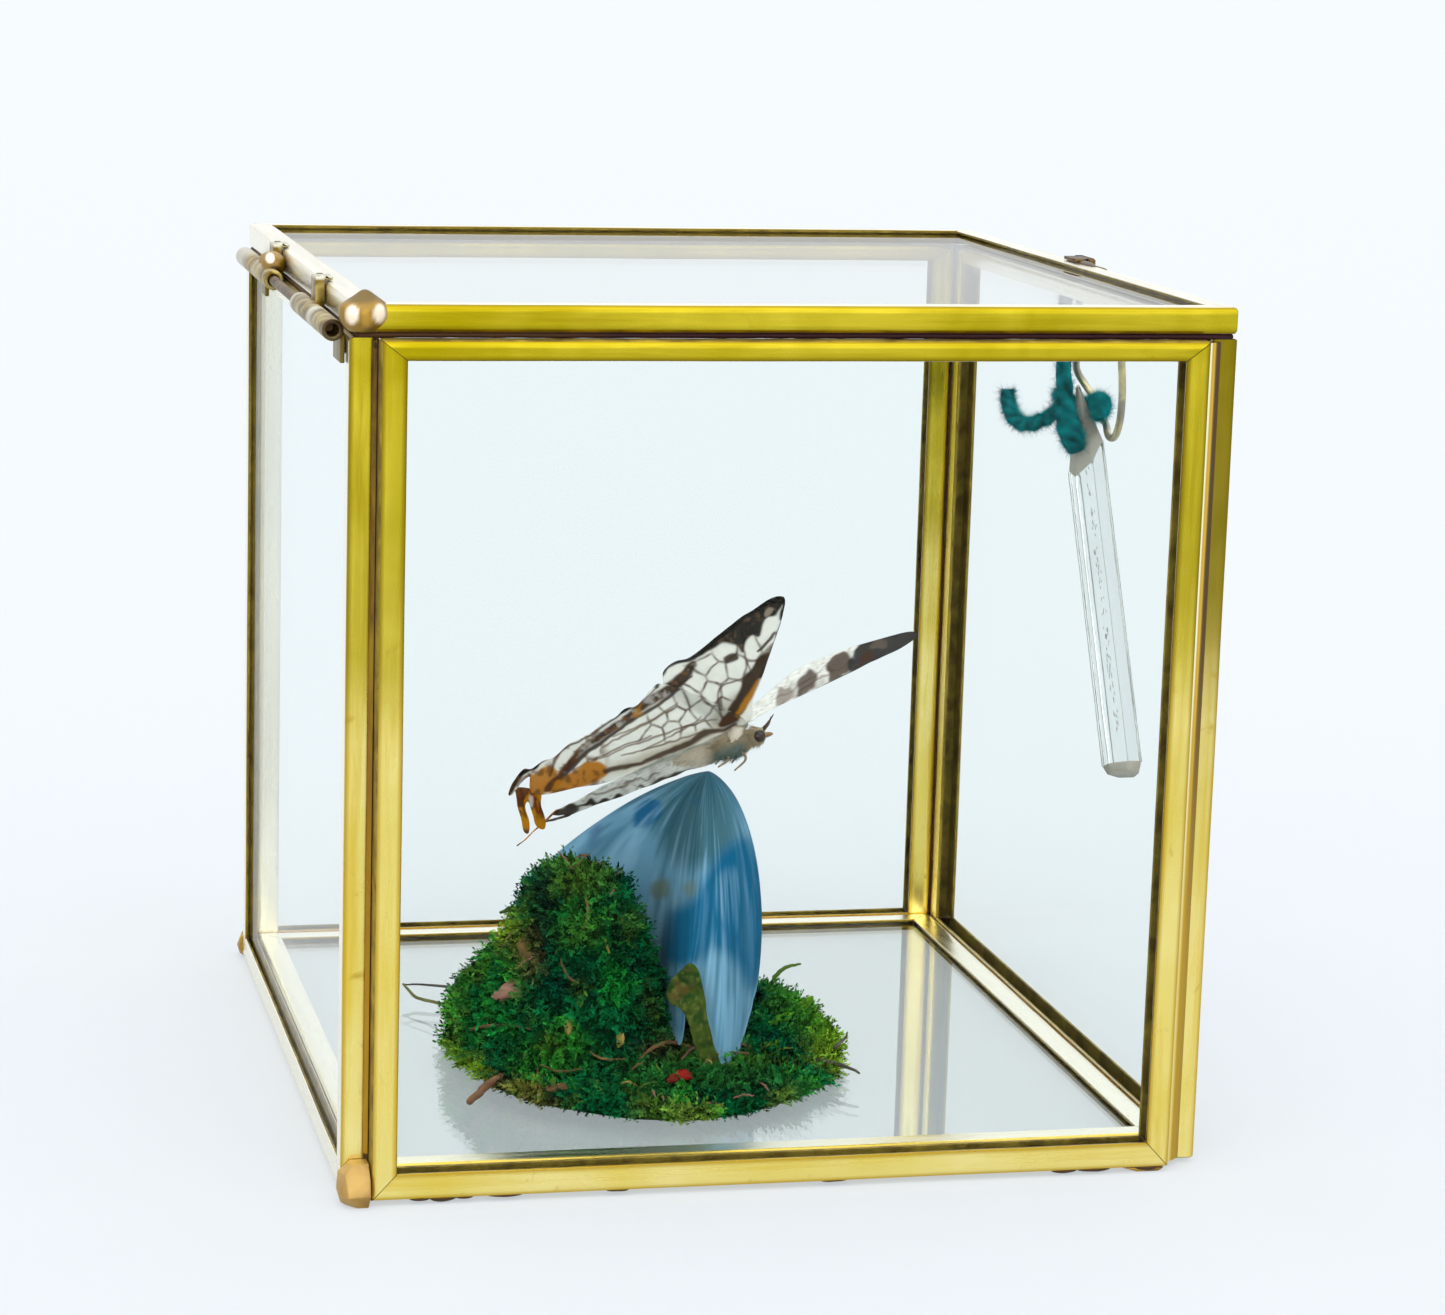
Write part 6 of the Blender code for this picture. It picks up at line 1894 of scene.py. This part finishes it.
LEAF_OUTLINE = ((689, 963), (697, 968), (702, 984), (705, 1000), (708, 1020), (713, 1042), (720, 1064),
                (714, 1076), (704, 1072), (697, 1052), (691, 1034), (687, 1018), (679, 1008),
                (671, 1004), (666, 994), (668, 984), (678, 973))
LEAF_PLANE = 27.3              # depth of the leaf's foot; its tip leans back from there
LEAF_LOW, LEAF_HIGH = 1070, 964
LEAF_THICK = 0.16
LEAF_OLIVE, LEAF_DARK, LEAF_YELLOW = (0.045, 0.072, 0.012), (0.012, 0.040, 0.008), (0.12, 0.14, 0.03)
LEAF_SHOULDER = (
    (((668, 996), (678, 976), (690, 968), (690, 990), (682, 1004)), None, 4, (0.085, 0.058, 0.018), 0.8),
)
LEAF_RIB = (
    (((690, 966), (699, 1000), (706, 1035), (714, 1066)), (2, 2.5, 2), 1, (0.030, 0.050, 0.012), 0.8),
)


def dry_leaf():
    """The brown-green leaf that stands in front of the bloom's notch."""
    flat, faces, rim = plate(LEAF_OUTLINE, 2.2)
    rise = np.clip((LEAF_LOW - flat[:, 1]) / (LEAF_LOW - LEAF_HIGH), 0, 1)
    depth = LEAF_PLANE + 0.9 * rise ** 2
    points = np.vstack([drawn(flat[k:k + 1], depth[k]) for k in range(len(flat))])
    points[:, 1] += 0.35 * value_noise(points, 1.1, seed=41) + 0.12 * value_noise(points, 0.5, seed=42)
    back = points + np.array((0, LEAF_THICK, 0))
    tone = paint(plain(points, LEAF_OLIVE), flat, LEAF_SHOULDER)
    tone = lay(tone, soft_step(cloud(flat, 7, seed=43), 0.0, 0.35), LEAF_DARK, 0.9)
    tone = lay(tone, soft_step(-cloud(flat, 4, seed=44), 0.15, 0.5), LEAF_YELLOW, 0.6)
    tone = paint(tone, flat, LEAF_RIB)
    faces = two_sided(len(points), faces, rim)
    return mesh_of("moss_leaf", np.vstack([points, back]), faces, np.vstack([tone, tone * 0.8]))


def moss():
    """The matted body of the moss, its sprigs, the scraps in it and the dry leaf."""
    mat = tinted("moss", roughness=0.9, Specular_IOR_Level=0.0)
    pieces = [moss_base()] + [sprigs(*row) for row in SPRIGS]
    pieces += [moss_bits(np.random.default_rng(11)), dry_leaf()]
    for data in pieces:
        place_mesh(data, (mat.made,), "case", ("moss_mound",))


# ---------------------------------------------------------------- clasp
CRYSTAL_TOP = np.array((103.6, 68.7, 82.5))
CRYSTAL_BOTTOM = np.array((106.0, 50.4, 34.9))
CRYSTAL_R = 2.5
YARN_STRAND = ((101.25, 67.6, 93.5), (101.25, 67.4, 88.0), (101.25, 66.8, 82.0),
               (101.35, 65.4, 78.4), (101.6, 63.7, 76.2), (101.7, 62.4, 74.8))
YARN_ARM = ((101.25, 66.9, 80.0), (101.25, 70.7, 78.3), (101.25, 76.8, 76.4), (101.25, 83.0, 75.3),
            (101.25, 87.8, 75.7), (101.25, 90.0, 77.2), (101.25, 90.4, 79.0))
YARN_CURL = ((101.35, 66.9, 81.0), (101.5, 69.6, 80.8), (102.9, 71.0, 80.4), (104.5, 70.2, 79.4),
             (105.6, 67.4, 80.2), (105.6, 64.4, 80.6), (104.9, 62.8, 79.7), (104.2, 61.6, 79.0))
BOW = ((101.0, 61.6, 97.65), (101.3, 63.0, 95.2), (102.4, 65.4, 91.0), (103.3, 68.4, 87.0),
       (104.3, 71.2, 83.9), (105.8, 71.0, 81.6), (106.6, 68.2, 79.8), (106.1, 64.0, 77.8),
       (104.8, 58.6, 76.9), (103.9, 53.6, 77.8), (103.5, 50.9, 80.6), (103.2, 50.2, 85.6),
       (102.3, 49.6, 91.6), (101.3, 49.5, 95.8), (101.0, 50.8, 97.65), (101.0, 54.0, 97.65),
       (101.0, 58.0, 97.65))


YARN = ((YARN_STRAND, (0.8, 0.85, 0.95, 1.2, 1.5, 1.45, 1.0)),        # lines and radii
        (YARN_ARM, (0.85, 0.85, 0.9, 0.9, 0.95, 1.0, 0.75)),
        (YARN_CURL, (0.7, 0.75, 0.8, 0.9, 1.05, 1.15, 1.1, 0.65)))
YARN_TURNS = 26
YARN_PLIES = 3
YARN_TEAL = (0.0, 0.145, 0.155)
YARN_HAIRS = 62                # loose fibres for each point of a line


def yarn():
    """Fuzzy yarn: twisted strands with loose fibres."""
    rng = np.random.default_rng(23)
    parts = []
    for line, widths in YARN:
        path = catmull(line, steps=12)
        radii = np.interp(np.linspace(0, 1, len(path)), np.linspace(0, 1, len(widths)), widths)
        points, faces = tube(path, radii, turns=YARN_TURNS)
        normal = unit(points - np.repeat(path, YARN_TURNS, axis=0))
        along = np.repeat(frames_along(path)[0], YARN_TURNS, axis=0)
        turn = np.tile(np.arange(YARN_TURNS) * math.tau / YARN_TURNS, len(path))
        run = np.repeat(np.arange(len(path)), YARN_TURNS)
        twist = np.cos(YARN_PLIES * turn + run * 0.55)
        points = points + normal * (0.09 * twist + 0.10 * value_noise(points, 0.7, seed=15))[:, None]
        # painted shade between the plies: the twist lightens their crowns and darkens the grooves
        light = 0.8 + 0.28 * twist + 0.5 * value_noise(points, 0.9, seed=16)
        tone = np.array(YARN_TEAL) * light[:, None]
        tone = np.clip(tone, 0.0, 1)
        parts.append((points, faces, tone))
        count = len(path) * YARN_HAIRS
        pick = rng.integers(0, len(points), count)
        lean = unit(along[pick] * rng.uniform(-1, 1, (count, 1)) + normal[pick] * 0.55
                    + rng.normal(size=(count, 3)) * 0.45)
        long = rng.uniform(0.4, 1.1, count)
        long[rng.random(count) < 0.05] *= 1.6
        shade = np.clip(tone[pick] * rng.uniform(0.8, 2.0, (count, 1)), 0.0, 1)
        parts.append(hairs(points[pick], lean, long, np.full(count, 0.045), shade, 0.6, rng, 3))
    mat = tinted("yarn", roughness=0.9, Specular_IOR_Level=0.0)
    place_mesh(mesh_of("yarn_fuzzy", *merged(parts)), (mat.made,), "clasp", ("yarn_tie",))


WIRE_R = 0.47
WIRE_TONES = ((0.30, 0.27, 0.22), (0.62, 0.52, 0.28))


def wire():
    """The wire loop, a little uneven along its way."""
    path = catmull(BOW, steps=10, closed=True)
    path = path + np.stack([value_noise(path, 2.5, seed=17 + k) for k in range(3)], axis=1) * 0.05
    data = mesh_of("clasp_wire", *tube(path, WIRE_R, turns=16, closed=True))
    mat = Nodes("wire")
    blots = mat.noise(mat.place(), scale=420, detail=4, rough=0.6, distortion=0.5)
    tone = mat.mix(mat.ramp(blots, (0.4, 0.0), (0.65, 1.0)), *WIRE_TONES)
    mat.shade(color=tone, metallic=0.85, roughness=0.38)
    place_mesh(data, (mat.made,), "clasp", ("clasp_loop",))


CRYSTAL_SIDES = 6
WIDE_SIDE, FLAT_SIDE = 1.03, 0.97      # its section is a little wider than deep
CRYSTAL_SLANT = math.radians(153)      # the side on which its upper bevel reaches lowest
CRYSTAL_BEVEL = 11.8                   # where the upper bevel ends, along the crystal
CRYSTAL_TIP = 1.9                      # length of the worn tip
CRYSTAL_CUTS = 24
CRYSTAL_ROUND, CRYSTAL_WAVE = 0.00025, 0.00005         # in metres
CRYSTAL_TINT = (0.83, 0.85, 0.845)
CRYSTAL_DUST = ((0.24, 0.215, 0.165), (0.42, 0.39, 0.32))
SPECKS = 90
SPECK_GREY, EDGE_LINE_GREY = (0.35, 0.36, 0.35), (0.40, 0.42, 0.39)


def crystal_rings(axis, across, other, length):
    """The corners of four slices: a small top, the bevel's end, and the two sides of the lower bevel."""
    turn = math.tau * (np.arange(CRYSTAL_SIDES) + 0.5) / CRYSTAL_SIDES
    spoke = np.outer(np.cos(turn) * WIDE_SIDE, across) + np.outer(np.sin(turn) * FLAT_SIDE, other)
    rings = []
    # how far along, how wide and how slanted each slice is
    slices = ((0.3, 0.1, 0.2), (9.7, 0.97, 3.2), (length - 1.3, 1.0, 0.0), (length, 0.8, -0.4))
    for run, share, lean in slices:
        slide = run + lean * np.cos(turn - CRYSTAL_SLANT)
        rings.append(CRYSTAL_TOP + axis * slide[:, None] + spoke * CRYSTAL_R * share)
    return rings


def crystal_looks():
    """Clear glass with streaks along it, and dusty glass for the cut faces at its ends."""
    body = Nodes("crystal")
    grain = body.noise(body.place((1, 1, 0.12)), scale=900, detail=4, rough=0.6, distortion=0.2)
    body.shade(color=CRYSTAL_TINT, roughness=body.ramp(grain, (0.35, 0.06), (0.7, 0.2)),
               Transmission_Weight=1.0, IOR=1.28, Specular_IOR_Level=0.2)
    body.bump(grain, strength=0.12, distance=0.0001)
    cut_face = Nodes("crystal_cut")
    dust = cut_face.noise(cut_face.place(), scale=700, detail=4, rough=0.6)
    cut_face.shade(color=cut_face.mix(dust, *CRYSTAL_DUST), roughness=0.5,
                   Transmission_Weight=0.25, IOR=1.5)
    return body.made, cut_face.made


def crystal_flaws(rings, axis, across, other, length):
    """Grey specks inside the crystal, and thin grey lines along its edges."""
    rng = np.random.default_rng(41)
    parts = []
    for _ in range(SPECKS):
        run = rng.uniform(10, length - 5)
        off = across * (0.1 + rng.normal() * 0.16) + other * (-0.3 + rng.normal() * 0.25)
        radii = (0.05, 0.05, rng.uniform(0.12, 0.42))
        points, faces = ball(CRYSTAL_TOP + axis * run + off, radii, turns=6, rows=5,
                             lean=(across, other, axis))
        parts.append((points, faces, plain(points, SPECK_GREY)))
    for upper, lower in zip(rings[1], rings[2]):
        edge = np.linspace(upper, lower, 30)
        edge = edge + 0.03 * value_noise(edge, 1.7, seed=9)[:, None]
        points, faces = tube(edge, 0.055, turns=6)
        parts.append((points, faces, plain(points, EDGE_LINE_GREY)))
    mat = tinted("specks", roughness=0.7)
    place_mesh(mesh_of("crystal_specks", *merged(parts)), (mat.made,), "clasp", ("crystal_point",))


def crystal():
    """The six-sided clear crystal, with its rounded edges slightly uneven."""
    axis = unit(CRYSTAL_BOTTOM - CRYSTAL_TOP)
    across = unit(np.array((1, 0, 0)) - axis * axis[0])
    other = np.cross(axis, across)
    length = np.linalg.norm(CRYSTAL_BOTTOM - CRYSTAL_TOP)
    rings = crystal_rings(axis, across, other, length)
    shape = bmesh.new()
    verts = [[shape.verts.new(at(*point)) for point in ring] for ring in rings]
    shape.faces.new(verts[0][::-1])
    shape.faces.new(verts[-1])
    for upper, lower in zip(verts, verts[1:]):
        for k in range(CRYSTAL_SIDES):
            j = (k + 1) % CRYSTAL_SIDES
            shape.faces.new((upper[k], upper[j], lower[j], lower[k]))
    bmesh.ops.recalc_face_normals(shape, faces=shape.faces)
    bmesh.ops.bevel(shape, geom=list(shape.edges), offset=CRYSTAL_ROUND, segments=3, profile=0.6,
                    affect="EDGES")
    for k in range(1, CRYSTAL_CUTS):
        cut_by_plane(shape, at(*(CRYSTAL_TOP + axis * length * k / CRYSTAL_CUTS)), axis)
    for vert in shape.verts:
        vert.co += noise.noise_vector(vert.co * 210) * CRYSTAL_WAVE
    for face in shape.faces:
        run = (to_box(np.array(face.calc_center_median())) - CRYSTAL_TOP) @ axis
        facing_down = np.array(face.normal) @ axis
        upper_cut = run < CRYSTAL_BEVEL and facing_down < -0.1
        worn_tip = run > length - CRYSTAL_TIP and facing_down > 0.15
        face.material_index = 1 if upper_cut or worn_tip else 0
    piece("crystal_clear", shape, "clasp", crystal_looks(), ("crystal_point",), 30)
    crystal_flaws(rings, axis, across, other, length)


# ---------------------------------------------------------------- the whole part
ROUNDING, FOOT_ROUNDING = 0.00012, 0.00015     # of the edges of hinge parts and feet, in metres


def repaint(node, material):
    """Gives a CAD node another material."""
    materials = frame["nodes"][node].data.materials
    materials.clear()
    materials.append(material)


def dress_solids():
    """Gives each brass, glass and solder solid of the frame its look."""
    looks = {axis: brass("brass_along_" + axis.lower(), axis) for axis in "XYZ"}
    looks["dark"] = dark_brass("brass_dark")
    looks["right_post_front"] = brass("brass_wall_end", "Z", WALL_END_HIGH)
    looks["worn"] = brass("brass_worn", "Z", sheen_share=0.72)
    gold = solder("solder_gold", *SOLDER_GOLD)
    brown = solder("solder_brown", *SOLDER_BROWN)
    tan = solder("solder_tan", *SOLDER_TAN, scale=260, shine=0.3)
    tubes = hinge_metal()
    groove = seam_brown()
    glass = clear_glass("wall_glass", PANE_TINT, PANE_INDEX)
    panes = {name: clear_glass(name, *row) for name, row in OTHER_PANES.items()}
    for name in list(frame["nodes"]):
        body = "lid" if name.startswith("lid") else "case"
        if "_rail" in name or "_post" in name:
            dress_channel(name, body, looks)
        elif name.endswith("glass"):
            repaint(name, panes.get(name, glass))
        elif name.startswith("solder_seam"):
            repaint(name, seam_highlighted() if "front_right" in name else groove)
        elif name.startswith("solder_foot"):
            soften(name, body, tan if "front_left" in name else gold, FOOT_ROUNDING, smooth=14)
        elif "knuckle" in name:
            soften(name, body, tubes, ROUNDING)
        elif name == "hinge_pin":
            soften(name, body, brown, ROUNDING)
        elif name == "clasp_eye":
            soften(name, "lid", brown, ROUNDING)


def main():
    """Builds the stage, dresses the solids of the frame and adds the grown and soldered pieces."""
    camera()
    world()
    floor()
    dress_solids()
    hinge_and_solder()
    butterfly(np.random.default_rng(3))
    bloom()
    moss()
    yarn()
    wire()
    crystal()


main()
